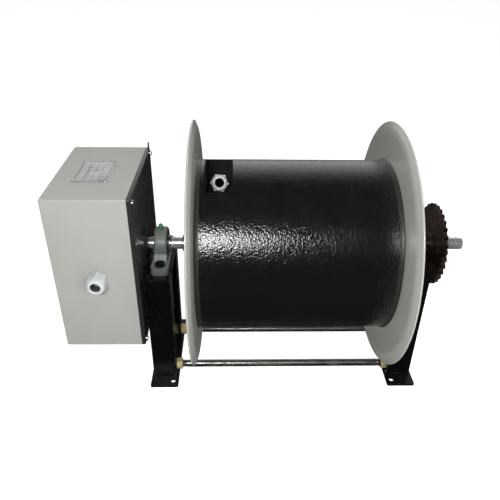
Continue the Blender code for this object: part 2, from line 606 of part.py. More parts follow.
# ---------------------------------------------------------------- cable glands
def build_gland(prefix, seat, direction, looks, parent, locknut_wall=None):
    """Cable gland on a wall; its +X points out of the wall. A locknut is made where a wall is given."""
    sides = GLAND_SIDES
    hexes = hexagon(GLAND_FLATS, sides)
    thread, neck = circle(GLAND_THREAD_RADIUS, sides), circle(GLAND_NECK_RADIUS, sides)
    bore = circle(GLAND_BORE_RADIUS, sides)
    seal_room = circle(GLAND_NECK_RADIUS - GLAND_SEAL_ROOM, sides)
    ledge = GLAND_FLANGE + (GLAND_NECK - GLAND_FLANGE) / 2
    body = bridged([(-GLAND_INSIDE, thread), (TOUCH, thread), (TOUCH, hexes), (GLAND_FLANGE, hexes),
                    (GLAND_FLANGE, neck), (GLAND_NECK, neck), (GLAND_NECK, seal_room), (ledge, seal_room),
                    (ledge, bore), (-GLAND_INSIDE, bore)], closed=True)
    finish(f"{prefix}_gland_body", body, looks["nylon"], parent, seat, direction)

    room, mouth = circle(GLAND_NECK_RADIUS + TOUCH, sides), circle(GLAND_HOLE_RADIUS, sides)
    start, front = GLAND_FLANGE + TOUCH, GLAND_LENGTH - GLAND_FRONT
    crown_start = GLAND_LENGTH - GLAND_CROWN
    crown_base = circle(GLAND_FLATS * GLAND_CROWN_EDGE, sides)
    crown = circle(GLAND_FLATS * GLAND_CROWN_TOP, sides)
    cap = bridged([(start, room), (start, hexes), (crown_start - GLAND_HOLE_STEP, hexes),
                   (crown_start, crown_base), (GLAND_LENGTH, crown), (GLAND_LENGTH, mouth),
                   (front, mouth), (front, room)], closed=True)
    finish(f"{prefix}_gland_nut", cap, looks["nylon"], parent, seat, direction)

    outer = GLAND_NECK_RADIUS - GLAND_SEAL_ROOM - TOUCH
    turned(f"{prefix}_gland_seal",
           [(ledge + TOUCH, GLAND_SEAL_RADIUS), (front - TOUCH, GLAND_SEAL_RADIUS), (front - TOUCH, outer),
            (ledge + TOUCH, outer)], looks["rubber"], parent, seat, direction, sides)
    if locknut_wall:
        near = -locknut_wall - TOUCH
        far = near - GLAND_LOCKNUT
        ring = hexagon(GLAND_FLATS + GLAND_LOCKNUT_EXTRA, sides)
        inner = circle(GLAND_THREAD_RADIUS + TOUCH, sides)
        mesh = bridged([(near, ring), (near, inner), (far, inner), (far, ring)], closed=True)
        finish(f"{prefix}_gland_locknut", mesh, looks["nylon"], parent, seat, direction)


# ---------------------------------------------------------------- slip-ring box
def box_frame(name, left, right, inset, look, parent):
    """Block over the box's outline, pulled in by inset."""
    y = BOX_DEPTH / 2 - inset
    return block(name, (left, -y, BOX_LOW + inset), (right, y, BOX_TOP - inset), look, parent)


def screw_places():
    """Corners at which the cover is screwed to the pan."""
    y = BOX_DEPTH / 2 - SCREW_INSET
    for z, level in ((BOX_LOW + SCREW_INSET, "lower"), (BOX_TOP - SCREW_INSET, "upper")):
        for side, place in ((-1, "front"), (1, "rear")):
            yield f"{level}_{place}", side * y, z


def screw_holes(left, right, parent):
    return [rod("screw_hole", SCREW_RADIUS + TOUCH, (left, y, z), (right, y, z), None, parent, 12)
            for _, y, z in screw_places()]


def build_box(looks, parent):
    """Sheet cover over the slip rings, gasket, and the pan that carries them on the left stand."""
    lip = BOX_RIGHT - BOX_SHEET
    cover = box_frame("ring_box_cover", BOX_LEFT, BOX_RIGHT, 0, looks["box_paint"], parent)
    room = box_frame("room", BOX_LEFT + BOX_SHEET, lip, BOX_SHEET, None, parent)
    opening = box_frame("opening", lip - BOX_SHEET, BOX_RIGHT + BOX_SHEET, BOX_LIP, None, parent)
    gland_seat = Vector(((BOX_LEFT + BOX_RIGHT) / 2 + BOX_GLAND_RIGHT, -BOX_DEPTH / 2,
                         BOX_CENTRE_Z - BOX_GLAND_LOW))
    gland_hole = rod("gland_hole", GLAND_THREAD_RADIUS * GLAND_WALL_HOLE,
                     gland_seat - Vector((0, BOX_SHEET, 0)), gland_seat + Vector((0, 2 * BOX_SHEET, 0)), None,
                     parent)
    cut(cover, room, opening, gland_hole, *screw_holes(lip - BOX_SHEET, BOX_RIGHT + BOX_SHEET, parent))
    build_gland("box", gland_seat, (0, -1, 0), looks, parent, locknut_wall=BOX_SHEET)

    edge = PAN_SHEET + TOUCH
    gasket_left, gasket_right = BOX_RIGHT + TOUCH, BOX_RIGHT + TOUCH + GASKET
    gasket = box_frame("cover_gasket", gasket_left, gasket_right, edge, looks["rubber"], parent)
    middle = box_frame("middle", gasket_left - GASKET, gasket_right + GASKET, BOX_LIP, None, parent)
    cut(gasket, middle, *screw_holes(gasket_left - GASKET, gasket_right + GASKET, parent))

    pan = box_frame("back_plate", BOX_RIGHT + TOUCH, PAN_OUTER, 0, looks["black"], parent)
    tab_y = BOX_DEPTH / 2 - TAB_WIDTH
    tab = block("tab", (PAN_INNER, tab_y - TAB_WIDTH / 2, BOX_TOP - TAB_WIDTH),
                (PAN_OUTER - TOUCH, tab_y + TAB_WIDTH / 2, BOX_TOP + TAB_HEIGHT), None, parent)
    weld(pan, tab)
    hollow = box_frame("hollow", BOX_RIGHT - PAN_DEPTH, PAN_INNER, PAN_SHEET, None, parent)
    shaft_hole = rod("shaft_hole", SHAFT_SEAL_RADIUS + TOUCH, (PAN_INNER - PAN_SHEET, 0, 0),
                     (PAN_OUTER + PAN_SHEET, 0, 0), None, parent, 32)
    tab_hole = rod("tab_hole", TAB_WIDTH / 4, (PAN_INNER - PAN_SHEET, tab_y, BOX_TOP + TAB_HEIGHT / 2),
                   (PAN_OUTER + PAN_SHEET, tab_y, BOX_TOP + TAB_HEIGHT / 2), None, parent, 12)
    pan_holes = screw_holes(PAN_INNER - PAN_SHEET, PAN_OUTER + PAN_SHEET, parent)
    cut(pan, hollow, shaft_hole, tab_hole, *pan_holes)

    inner, lip_radius = SHAFT_SEAL_BORE, SHAFT_SEAL_RADIUS + SHAFT_SEAL_LIP
    left, right = PAN_INNER - TOUCH, PAN_OUTER + TOUCH
    turned("shaft_seal", [(left - PAN_SHEET, inner), (right + PAN_SHEET, inner),
                          (right + PAN_SHEET, lip_radius), (right, lip_radius),
                          (right, SHAFT_SEAL_RADIUS), (left, SHAFT_SEAL_RADIUS), (left, lip_radius),
                          (left - PAN_SHEET, lip_radius)], looks["rubber"], parent)

    washer = PAN_OUTER + TOUCH
    head = washer + SCREW_WASHER
    for place, y, z in screw_places():
        screw = rod(f"cover_screw_{place}", SCREW_WASHER_RADIUS, (washer, y, z), (head, y, z),
                    looks["zinc"], parent, sides=16)
        weld(screw, rod("head", SCREW_HEAD_RADIUS, (washer + TOUCH, y, z), (head + SCREW_HEAD, y, z),
                        None, parent, sides=12),
             rod("shank", SCREW_RADIUS, (BOX_RIGHT - BOX_SHEET - SCREW_REACH, y, z), (head, y, z), None,
                 parent, sides=10))

    low_x, low_y = BOX_LEFT + NAME_PLATE_FROM_LEFT, -BOX_DEPTH / 2 + NAME_PLATE_FROM_FRONT
    block("name_plate", (low_x, low_y, BOX_TOP + TOUCH),
          (low_x + NAME_PLATE_LENGTH, low_y + NAME_PLATE_DEPTH, BOX_TOP + TOUCH + NAME_PLATE_SHEET),
          looks["foil"], parent)


def build_slip_rings(looks, fixed, turning):
    """Brass rings on an insulating core that turns with the shaft, and the brushes that stand still."""
    middle = (BOX_LEFT + BOX_RIGHT) / 2
    span = (RING_COUNT - 1) * RING_SPACING
    half_core = span / 2 + RING_WIDTH / 2 + CORE_END
    bore, core = SHAFT_RADIUS + TOUCH, RING_BORE_RADIUS - TOUCH
    turned("slip_ring_core", [(-half_core, bore), (half_core, bore), (half_core, core), (-half_core, core)],
           looks["insulator"], turning, (middle, 0, 0))
    bar_front = RING_RADIUS + TOUCH + BRUSH_LENGTH + TOUCH
    block("brush_holder", (middle - half_core, bar_front, -BRUSH_BAR_HEIGHT / 2),
          (PAN_INNER - TOUCH, bar_front + BRUSH_BAR_DEPTH, BRUSH_BAR_HEIGHT / 2), looks["insulator"], fixed)
    half_ring, half_brush = RING_WIDTH / 2, BRUSH_SIZE / 2
    for number in range(RING_COUNT):
        x = middle - span / 2 + number * RING_SPACING
        turned(f"slip_ring_{number + 1}",
               [(-half_ring, RING_BORE_RADIUS), (half_ring, RING_BORE_RADIUS), (half_ring, RING_RADIUS),
                (-half_ring, RING_RADIUS)], looks["brass"], turning, (x, 0, 0))
        block(f"carbon_brush_{number + 1}", (x - half_brush, RING_RADIUS + TOUCH, -half_brush),
              (x + half_brush, RING_RADIUS + TOUCH + BRUSH_LENGTH, half_brush), looks["carbon"], fixed)
    bottom = BOX_LOW + BOX_LIP + TERMINAL_FROM_FLOOR
    block("terminal_block", (PAN_INNER - TOUCH - TERMINAL_LENGTH, -TERMINAL_DEPTH / 2, bottom),
          (PAN_INNER - TOUCH, TERMINAL_DEPTH / 2, bottom + TERMINAL_HEIGHT), looks["insulator"], fixed)


# ---------------------------------------------------------------- the whole reel
def main():
    clear_scene()
    looks = {
        "cream": material("cream_paint", (0.52, 0.52, 0.47), 0.35),
        "box_paint": material("box_paint", (0.48, 0.48, 0.42), 0.5),
        "black": material("black_paint", (0.012, 0.012, 0.013), 0.3),
        "steel": material("bright_steel", (0.55, 0.55, 0.54), 0.3, 1.0),
        "zinc": material("yellow_zinc", (0.60, 0.50, 0.25), 0.35, 1.0),
        "casting": material("painted_casting", (0.12, 0.15, 0.13), 0.5),
        "green": material("green_plastic", (0.02, 0.20, 0.10), 0.4),
        "black_bolt": material("blackened_steel", (0.03, 0.03, 0.03), 0.45, 1.0),
        "nylon": material("white_nylon", (0.72, 0.73, 0.74), 0.4),
        "rubber": material("black_rubber", (0.02, 0.02, 0.02), 0.7),
        "foil": material("name_plate_foil", (0.55, 0.55, 0.52), 0.3, 1.0),
        "sprocket": material("oiled_steel", (0.06, 0.045, 0.04), 0.45, 1.0),
        "insulator": material("insulator", (0.35, 0.12, 0.04), 0.5),
        "brass": material("brass", (0.70, 0.50, 0.20), 0.25, 1.0),
        "carbon": material("carbon", (0.03, 0.03, 0.035), 0.6),
    }
    fixed, turning = carrier("frame_axis"), carrier("drum_axis")
    build_stand("left_stand", LEFT_STAND_FACE, looks["black"], fixed)
    build_stand("right_stand", RIGHT_STAND_FACE, looks["black"], fixed)
    build_tie_rods(looks["steel"], looks["zinc"], fixed)
    build_bearing("left", LEFT_BEARING_X, 1, looks, fixed, turning)
    build_bearing("right", RIGHT_BEARING_X, -1, looks, fixed, turning)
    build_drum(looks, turning)
    build_shaft(looks, turning)
    build_sprocket(looks, turning)
    build_box(looks, fixed)
    build_slip_rings(looks, fixed, turning)


main()
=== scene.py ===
"""Looks for a chain-driven cable reel with a slip-ring box, on a pale studio floor.

Every piece is modelled round the shaft's axis, in the middle of the drum: X runs along the shaft, with the
slip-ring box at -X and the sprocket at +X, Y runs to the rear and Z up. Metres throughout.
"""
import json
from math import atan2, ceil, cos, hypot, pi, radians, sin, sqrt
from random import Random

import bmesh
import bpy
from mathutils import Matrix, Vector


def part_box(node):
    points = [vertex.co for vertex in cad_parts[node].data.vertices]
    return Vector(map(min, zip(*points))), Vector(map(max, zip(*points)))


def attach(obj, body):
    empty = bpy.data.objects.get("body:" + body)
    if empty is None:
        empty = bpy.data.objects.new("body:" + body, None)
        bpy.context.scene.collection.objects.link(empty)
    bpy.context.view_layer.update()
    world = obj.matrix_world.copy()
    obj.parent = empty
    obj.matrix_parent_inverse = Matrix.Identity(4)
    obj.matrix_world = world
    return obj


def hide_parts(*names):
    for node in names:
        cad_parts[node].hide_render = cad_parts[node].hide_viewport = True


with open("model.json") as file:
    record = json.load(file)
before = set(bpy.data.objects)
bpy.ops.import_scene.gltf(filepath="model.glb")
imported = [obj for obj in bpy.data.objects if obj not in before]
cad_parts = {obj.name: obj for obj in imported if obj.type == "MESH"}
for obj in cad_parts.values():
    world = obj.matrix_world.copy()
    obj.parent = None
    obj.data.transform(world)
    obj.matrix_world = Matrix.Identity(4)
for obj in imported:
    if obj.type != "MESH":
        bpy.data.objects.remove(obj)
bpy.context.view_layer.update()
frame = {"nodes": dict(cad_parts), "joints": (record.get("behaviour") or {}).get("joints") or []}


# ================================================================ camera, floor and lights
# A studio corner: a pale paper floor, a small softbox beside the camera to its left, a broad fill to
# its right, a weak one overhead, and a light wall behind that shows in gloss along the top edges.
AXIS = Vector(frame["joints"][0]["pos_m"])   # where the reel turns; every piece's origin lies here
CAMERA_AT = Vector((-0.1169, -0.9603, 0.5726))
CAMERA_DOWN, CAMERA_ASIDE, CAMERA_ROLL = radians(31.5445), radians(2.0314), radians(1.117)
CAMERA_LENS = 38.51
FLOOR_SIZE = 14.0
KEY_AT, KEY_SIZE, KEY_POWER = Vector((-0.34, -1.25, 0.82)), (0.44, 0.24), 14.0
TOP_AT, TOP_SIZE, TOP_POWER = Vector((0.1, -0.2, 1.9)), (2.2, 2.2), 14.0
FILL_AT, FILL_SIZE, FILL_POWER = Vector((0.80, -1.45, 0.60)), (0.9, 0.9), 11.5


def fill(tree, made, sockets):
    """Sets a node's inputs, by name or number, to values or to other nodes' outputs."""
    for key, value in sockets.items():
        if isinstance(value, bpy.types.NodeSocket):
            tree.links.new(value, made.inputs[key])
        else:
            made.inputs[key].default_value = value


def node(tree, kind, sockets=None, out=0, **settings):
    """Adds a shader node and returns one of its outputs."""
    made = tree.nodes.new("ShaderNode" + kind)
    for key, value in settings.items():
        setattr(made, key, value)
    fill(tree, made, sockets or {})
    return made.outputs[out]


def ramp(tree, value, start, end, low=0.0, high=1.0):
    """Value rescaled from start..end to low..high, and held there."""
    return node(tree, "MapRange", {"Value": value, "From Min": start, "From Max": end, "To Min": low,
                                   "To Max": high}, interpolation_type="SMOOTHSTEP")


def mixed(tree, mask, first, second):
    """Colour between first and second, by a mask."""
    return node(tree, "Mix", {0: mask, 6: first, 7: second}, out=2, data_type="RGBA")


def noise(tree, place, scale, detail=3.0, roughness=0.5):
    """Cloudy noise, with its scale in waves per metre."""
    return node(tree, "TexNoise", {"Vector": place, "Scale": scale, "Detail": detail,
                                   "Roughness": roughness})


def new_look(name):
    """New material with its tree, its Principled shader and its place on the piece."""
    look = bpy.data.materials.new(name)
    look.use_nodes = True
    tree = look.node_tree
    return look, tree, tree.nodes["Principled BSDF"], node(tree, "TexCoord", out="Object")


def softbox(name, at, size, power, aim):
    """Rectangular studio light, placed and aimed from the shaft's axis."""
    light = bpy.data.lights.new(name, "AREA")
    light.shape = "RECTANGLE"
    light.size, light.size_y = size
    light.energy = power
    holder = bpy.data.objects.new(name, light)
    holder.location = AXIS + at
    holder.rotation_euler = (aim - at).to_track_quat("-Z", "Y").to_euler()
    bpy.context.collection.objects.link(holder)
    return holder


camera = bpy.data.objects.new("camera", bpy.data.cameras.new("camera"))
camera.data.lens = CAMERA_LENS
camera.matrix_world = (Matrix.Translation(AXIS + CAMERA_AT) @ Matrix.Rotation(-CAMERA_ASIDE, 4, "Z")
                       @ Matrix.Rotation(pi / 2 - CAMERA_DOWN, 4, "X") @ Matrix.Rotation(CAMERA_ROLL, 4, "Z"))
bpy.context.collection.objects.link(camera)
bpy.context.scene.camera = camera
bpy.context.scene.view_settings.view_transform = "Standard"

softbox("key_softbox", KEY_AT, KEY_SIZE, KEY_POWER, Vector((0, 0, 0)))
overhead = softbox("overhead_softbox", TOP_AT, TOP_SIZE, TOP_POWER, Vector((0, 0, 0)))
overhead.visible_glossy = False
side_fill = softbox("side_fill", FILL_AT, FILL_SIZE, FILL_POWER, Vector((-0.15, 0, 0)))
side_fill.visible_glossy = False

# The wall behind is a light patch of the world, low and to the rear; the rest of the room is dim.
WALL_LIGHT, ROOM_LIGHT = (0.95, 0.95, 0.96, 1.0), (0.045, 0.045, 0.047, 1.0)
WALL_SIDES, WALL_TOP = (0.05, 0.55), (0.85, 0.45)     # where the wall fades in, as parts of a direction
world = bpy.data.worlds.new("studio")
world.use_nodes = True
bpy.context.scene.world = world
room = world.node_tree
way = node(room, "TexCoord", out="Generated")
across, up = (node(room, "SeparateXYZ", {0: way}, out=axis) for axis in ("Y", "Z"))
wall = node(room, "Math", {0: ramp(room, across, *WALL_SIDES), 1: ramp(room, up, *WALL_TOP)},
            operation="MULTIPLY")
backdrop = node(room, "LightPath", out="Is Camera Ray")
lit = node(room, "Math", {0: wall, 1: backdrop}, operation="MAXIMUM")
fill(room, room.nodes["Background"], {"Color": mixed(room, lit, ROOM_LIGHT, WALL_LIGHT), "Strength": 1.0})

FLOOR_TONE, FLOOR_IN_GLOSS = (0.90, 0.90, 0.89, 1.0), (0.035, 0.035, 0.035, 1.0)
FLOOR_LIFT = 0.80             # how far the paper is lifted towards white where it is seen directly
FLOOR_FIBRES, FLOOR_BUMP = 260.0, 0.0001
paper, tree, shader, place = new_look("studio_paper")
fibres = ramp(tree, noise(tree, place, FLOOR_FIBRES), 0.35, 0.65)
tone = mixed(tree, fibres, FLOOR_TONE, (0.88, 0.88, 0.87, 1.0))
gloss_ray = node(tree, "LightPath", out="Is Glossy Ray")
seen = node(tree, "LightPath", out="Is Camera Ray")
lift = node(tree, "Math", {0: seen, 1: FLOOR_LIFT}, operation="MULTIPLY")
fill(tree, shader, {"Base Color": mixed(tree, gloss_ray, tone, FLOOR_IN_GLOSS), "Roughness": 0.95,
                    "Emission Color": (1.0, 1.0, 1.0, 1.0), "Emission Strength": lift,
                    "Specular IOR Level": 0.1,
                    "Normal": node(tree, "Bump", {"Height": fibres, "Distance": FLOOR_BUMP})})
sheet = bmesh.new()
bmesh.ops.create_grid(sheet, x_segments=8, y_segments=8, size=FLOOR_SIZE / 2)
floor_mesh = bpy.data.meshes.new("studio_floor")
sheet.to_mesh(floor_mesh)
floor = bpy.data.objects.new("studio_floor", floor_mesh)
floor_mesh.materials.append(paper)
bpy.context.collection.objects.link(floor)


# ================================================================ barrel
# Rolled steel tube between the flanges, welded to both, in black paint that dries to a coarse wrinkle.
# A room for the cable pocket is cut into its upper front, next to the left flange.
BARREL_STEPS = 288            # sides of the turned barrel
POCKET_LIP, POCKET_WALL = radians(62), radians(115)   # rising from the front, towards the top
POCKET_STEEL = 0.002
GAP = 0.0003                  # between two pieces that seat on each other
WRINKLE, WRINKLE_DEPTH = 275.0, 0.00060   # paint's bumps per metre, and their height
SEAM_WIDTH, SEAM_HEIGHT = 0.0085, 0.003   # smooth fillet between the barrel and each flange
SEAM_GAP, SEAM_UNDER = 0.0001, 0.001      # fillet off the flange, and its foot under the barrel's skin
SHARP = radians(34)           # edges steeper than this are rounded, or stay sharp


def reach(node):
    """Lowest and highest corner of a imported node, measured from the shaft's axis."""
    low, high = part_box(node)
    return low - AXIS, high - AXIS


barrel_low, barrel_high = reach("barrel")
BARREL_RADIUS, BARREL_END, BARREL_WALL = -barrel_low.z, barrel_high.x, 0.003
pocket_low, pocket_high = reach("cable_pocket")
POCKET_X = (pocket_low.x + pocket_high.x) / 2
POCKET_HALF = (pocket_high.x - pocket_low.x) / 2 - POCKET_STEEL
POCKET_OUT = Vector((0, -cos(POCKET_WALL), sin(POCKET_WALL)))      # outward, along the gland's wall
POCKET_FACE = Vector((0, -sin(POCKET_WALL), -cos(POCKET_WALL)))    # out of the gland's wall
POCKET_FLOOR = BARREL_RADIUS * cos(POCKET_WALL - POCKET_LIP)


def group(name, inputs, outputs):
    """Shader node group with named sockets: its tree, its inputs, and a function that fills its outputs."""
    made = bpy.data.node_groups.new(name, "ShaderNodeTree")
    for socket, (kind, value) in inputs.items():
        entry = made.interface.new_socket(name=socket, in_out="INPUT", socket_type="NodeSocket" + kind)
        if value is not None:
            entry.default_value = value
    for socket, kind in outputs.items():
        made.interface.new_socket(name=socket, in_out="OUTPUT", socket_type="NodeSocket" + kind)
    end = made.nodes.new("NodeGroupOutput")
    return made, made.nodes.new("NodeGroupInput").outputs, lambda sockets: fill(made, end, sockets)


def math(tree, operation, first, second=0.0):
    """Arithmetic on two values or outputs."""
    return node(tree, "Math", {0: first, 1: second}, operation=operation)


# Paint skin: soft round bumps of one size, broken up by finer ones.
PAINT_SKIN, given, give = group("paint_skin", {"Vector": ("Vector", None), "Bumps": ("Float", 300.0),
                                               "Fine": ("Float", 0.3)}, {"Height": "Float"})
cells = node(PAINT_SKIN, "TexVoronoi", {"Vector": given["Vector"], "Scale": given["Bumps"],
                                        "Smoothness": 1.0}, feature="SMOOTH_F1")
swells = noise(PAINT_SKIN, given["Vector"], given["Bumps"], 2.0)
coarse = math(PAINT_SKIN, "ADD", math(PAINT_SKIN, "MULTIPLY", cells, -0.6), swells)
fine_scale = math(PAINT_SKIN, "MULTIPLY", given["Bumps"], 3.1)
fine = noise(PAINT_SKIN, given["Vector"], fine_scale, 2.0)
give({"Height": math(PAINT_SKIN, "ADD", coarse, math(PAINT_SKIN, "MULTIPLY", fine, given["Fine"]))})

# Dust: settles in patches on what faces up.
DUST, given, give = group("dust", {"Vector": ("Vector", None), "Amount": ("Float", 0.3)},
                          {"Mask": "Float"})
facing_up = node(DUST, "SeparateXYZ", {0: node(DUST, "TexCoord", out="Normal")}, out="Z")
patches = ramp(DUST, noise(DUST, given["Vector"], 22.0, 5.0, 0.65), 0.35, 0.75, 0.25, 1.0)
settled = math(DUST, "MULTIPLY", ramp(DUST, facing_up, -0.1, 1.0), patches)
give({"Mask": math(DUST, "MULTIPLY", settled, given["Amount"])})

# Edge wear: finds corners by how far a rounded normal leans from the true one, and breaks them up.
EDGE_WEAR, given, give = group("edge_wear", {"Vector": ("Vector", None), "Radius": ("Float", 0.0012),
                                             "Amount": ("Float", 0.6)}, {"Mask": "Float"})
rounded = node(EDGE_WEAR, "Bevel", {"Radius": given["Radius"]}, samples=4)
true = node(EDGE_WEAR, "NewGeometry", out="Normal")
lean = node(EDGE_WEAR, "VectorMath", {0: rounded, 1: true}, out="Value", operation="DOT_PRODUCT")
corner = ramp(EDGE_WEAR, lean, 0.97, 0.80)
chips = ramp(EDGE_WEAR, noise(EDGE_WEAR, given["Vector"], 140.0, 4.0, 0.6), 0.46, 0.60)
give({"Mask": math(EDGE_WEAR, "MULTIPLY", math(EDGE_WEAR, "MULTIPLY", corner, chips), given["Amount"])})


def paint(name, colour, roughness, bumps, depth, fine=0.3, dust=0.2, wear=0.0, specular=0.5, coat=0.0,
          dust_tone=(0.30, 0.29, 0.27, 1.0), bare=(0.34, 0.33, 0.31, 1.0), uneven=0.10):
    """Paint on steel: skin, dust and worn corners that show the steel."""
    look, tree, shader, place = new_look(name)
    skin = node(tree, "Group", {"Vector": place, "Bumps": bumps, "Fine": fine}, node_tree=PAINT_SKIN)
    dusty = node(tree, "Group", {"Vector": place, "Amount": dust}, node_tree=DUST)
    blotch = ramp(tree, noise(tree, place, 9.0, 4.0), 0.3, 0.7)
    dark = tuple(channel * (1 - uneven) for channel in colour)
    tone = mixed(tree, blotch, (*colour, 1.0), (*dark, 1.0))
    tone = mixed(tree, dusty, tone, dust_tone)
    sheen = math(tree, "ADD", ramp(tree, noise(tree, place, 45.0, 3.0), 0.3, 0.7, roughness * (1 - uneven),
                                   roughness * (1 + uneven)), math(tree, "MULTIPLY", dusty, 0.25))
    if wear:
        worn = node(tree, "Group", {"Vector": place, "Amount": wear}, node_tree=EDGE_WEAR)
        tone = mixed(tree, worn, tone, bare)
        fill(tree, shader, {"Metallic": worn})
    fill(tree, shader, {"Base Color": tone, "Roughness": sheen, "Specular IOR Level": specular,
                        "Normal": node(tree, "Bump", {"Height": skin, "Distance": depth}),
                        "Coat Weight": coat, "Coat Roughness": 0.12})
    return look


BLACK_WRINKLE = paint("black_wrinkle_paint", (0.004, 0.004, 0.0048), 0.18, WRINKLE, WRINKLE_DEPTH, 0.25,
                      dust=0.01, specular=0.80)
SEAM_PAINT = paint("seam_paint", (0.030, 0.030, 0.024), 0.40, 260.0, 0.00008, dust=0.05)


def turned(profile, steps=96):
    """Solid turned about X from a closed outline of (x, radius) points."""
    mesh = bmesh.new()
    rings = []
    for x, radius in profile:
        count = steps if radius > 1e-6 else 1
        turns = [2 * pi * i / steps for i in range(count)]
        rings.append([mesh.verts.new((x, radius * sin(turn), radius * cos(turn))) for turn in turns])
    for first, second in zip(rings, rings[1:] + rings[:1]):
        for i in range(steps if len(first) + len(second) > 2 else 0):
            corners = [first[(i - 1) % len(first)], first[i % len(first)], second[i % len(second)],
                       second[(i - 1) % len(second)]]
            mesh.faces.new(dict.fromkeys(corners))
    return mesh


def lofted(sections, closed=False):
    """Mesh through outlines (x, points) with equal counts: a ring if closed, else capped at both ends."""
    mesh = bmesh.new()
    loops = [[mesh.verts.new((x, *point)) for point in points] for x, points in sections]
    pairs = list(zip(loops, loops[1:] + loops[:1])) if closed else list(zip(loops, loops[1:]))
    for first, second in pairs:
        for i in range(len(first)):
            mesh.faces.new((first[i - 1], first[i], second[i], second[i - 1]))
    if not closed:
        mesh.faces.new(loops[0])
        mesh.faces.new(loops[-1])
    return mesh


def as_object(name, mesh):
    """Object on the shaft's axis from a bmesh, with its faces turned out."""
    bmesh.ops.recalc_face_normals(mesh, faces=mesh.faces)
    if mesh.calc_volume(signed=True) < 0:
        bmesh.ops.reverse_faces(mesh, faces=mesh.faces)
    data = bpy.data.meshes.new(name)
    mesh.to_mesh(data)
    mesh.free()
    made = bpy.data.objects.new(name, data)
    made.location = AXIS
    bpy.context.collection.objects.link(made)
    return made


def shaped(mesh, tools, operation):
    """Mesh after a Boolean with each tool in turn, as a bmesh again."""
    target = as_object("work", mesh)
    helpers = [as_object("tool", tool) for tool in tools]
    for helper in helpers:
        change = target.modifiers.new("shape", "BOOLEAN")
        change.operation, change.object, change.solver = operation, helper, "EXACT"
    graph = bpy.context.evaluated_depsgraph_get()
    data = bpy.data.meshes.new_from_object(target.evaluated_get(graph))
    result = bmesh.new()
    result.from_mesh(data)
    bpy.data.meshes.remove(data)
    for item in [target, *helpers]:
        bpy.data.objects.remove(item, do_unlink=True)
    return result


def cut(mesh, *tools):
    """Mesh less its tools."""
    return shaped(mesh, tools, "DIFFERENCE")


def rounded_edges(made, width, segments):
    """Bevel on every sharp edge of an object."""
    rounding = made.modifiers.new("rounded_edges", "BEVEL")
    rounding.width, rounding.segments = width, segments
    rounding.limit_method, rounding.angle_limit = "ANGLE", SHARP
    rounding.harden_normals = True
    return rounding


def piece(name, mesh, look, body, edge=0.0, segments=3):
    """Finished piece on its body, with its material and rounded edges; it stands for a node of its name."""
    made = as_object(name, mesh)
    made.data.materials.append(look)
    made.data.shade_smooth()
    made.data.set_sharp_from_angle(angle=SHARP)
    if edge:
        rounded_edges(made, edge, segments)
    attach(made, body)
    if name in frame["nodes"]:
        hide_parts(name)
    return made


def pocket_room(grow, top=2.0):
    """Room of the cable pocket as a prism along X, grown on its floor, the gland's wall and both sides."""
    far = top * BARREL_RADIUS
    corners = [(-grow, POCKET_FLOOR - grow), (far, POCKET_FLOOR - grow), (far, far), (-grow, far)]
    outline = [(POCKET_FACE * along + POCKET_OUT * up).yz for along, up in corners]
    half = POCKET_HALF + grow
    return lofted([(POCKET_X - half, outline), (POCKET_X + half, outline)])


tube_inside = BARREL_RADIUS - BARREL_WALL
tube = turned([(-BARREL_END, tube_inside), (BARREL_END, tube_inside), (BARREL_END, BARREL_RADIUS),
               (-BARREL_END, BARREL_RADIUS)], BARREL_STEPS)
piece("barrel", cut(tube, pocket_room(POCKET_STEEL + GAP)), BLACK_WRINKLE, "reel",
      edge=0.0004, segments=2)


def quarter(steps):
    """Sine and cosine at even steps over a quarter turn."""
    return [(sin(pi / 2 * i / steps), cos(pi / 2 * i / steps)) for i in range(steps + 1)]


for side, out in (("left", -1), ("right", 1)):
    hollow = [(SEAM_WIDTH * (1 - s), BARREL_RADIUS + SEAM_GAP + SEAM_HEIGHT * (1 - c))
              for s, c in quarter(10)]
    foot = BARREL_RADIUS - SEAM_UNDER
    profile = [(SEAM_GAP, foot), (SEAM_WIDTH, foot), *hollow[:-1], (SEAM_GAP, hollow[-1][1])]
    seam = turned([(out * (BARREL_END - depth), radius) for depth, radius in profile], BARREL_STEPS)
    piece(f"{side}_barrel_seam", seam, SEAM_PAINT, "reel")


# ================================================================ flanges
# Discs of 4 mm steel sheet, 500 mm across, spun so that their rim leans outward, in cream gloss paint. Each
# is welded to the neck of its hub, and its seam with the barrel is filled smooth.
FLANGE_STEPS = 288            # sides of the turned disc
FLANGE_STEEL, FLANGE_BORE = 0.004, 0.0183   # sheet, and the radius of the hole for the hub's neck
RIM_LEAN_FROM = 0.226         # radius at which the sheet bends outward
RIM_BEND = 0.018              # length of the bend, along the radius
CREAM = paint("cream_gloss_paint", (0.50, 0.50, 0.467), 0.30, 260.0, 0.00002, 0.3, dust=0.02, wear=0.12,
              coat=0.4, dust_tone=(0.50, 0.47, 0.42, 1.0), bare=(0.30, 0.27, 0.22, 1.0), uneven=0.03)


def lean_profile(depth, radius):
    """Points of the sheet's inner side over the leaning rim: a smooth bend, then straight out."""
    run = radius - RIM_LEAN_FROM
    slope = depth / (run - RIM_BEND / 2)
    steps = 10
    bend = [(slope * RIM_BEND * (i / steps) ** 2 / 2, RIM_LEAN_FROM + RIM_BEND * i / steps)
            for i in range(steps + 1)]
    return bend + [(depth, radius)]


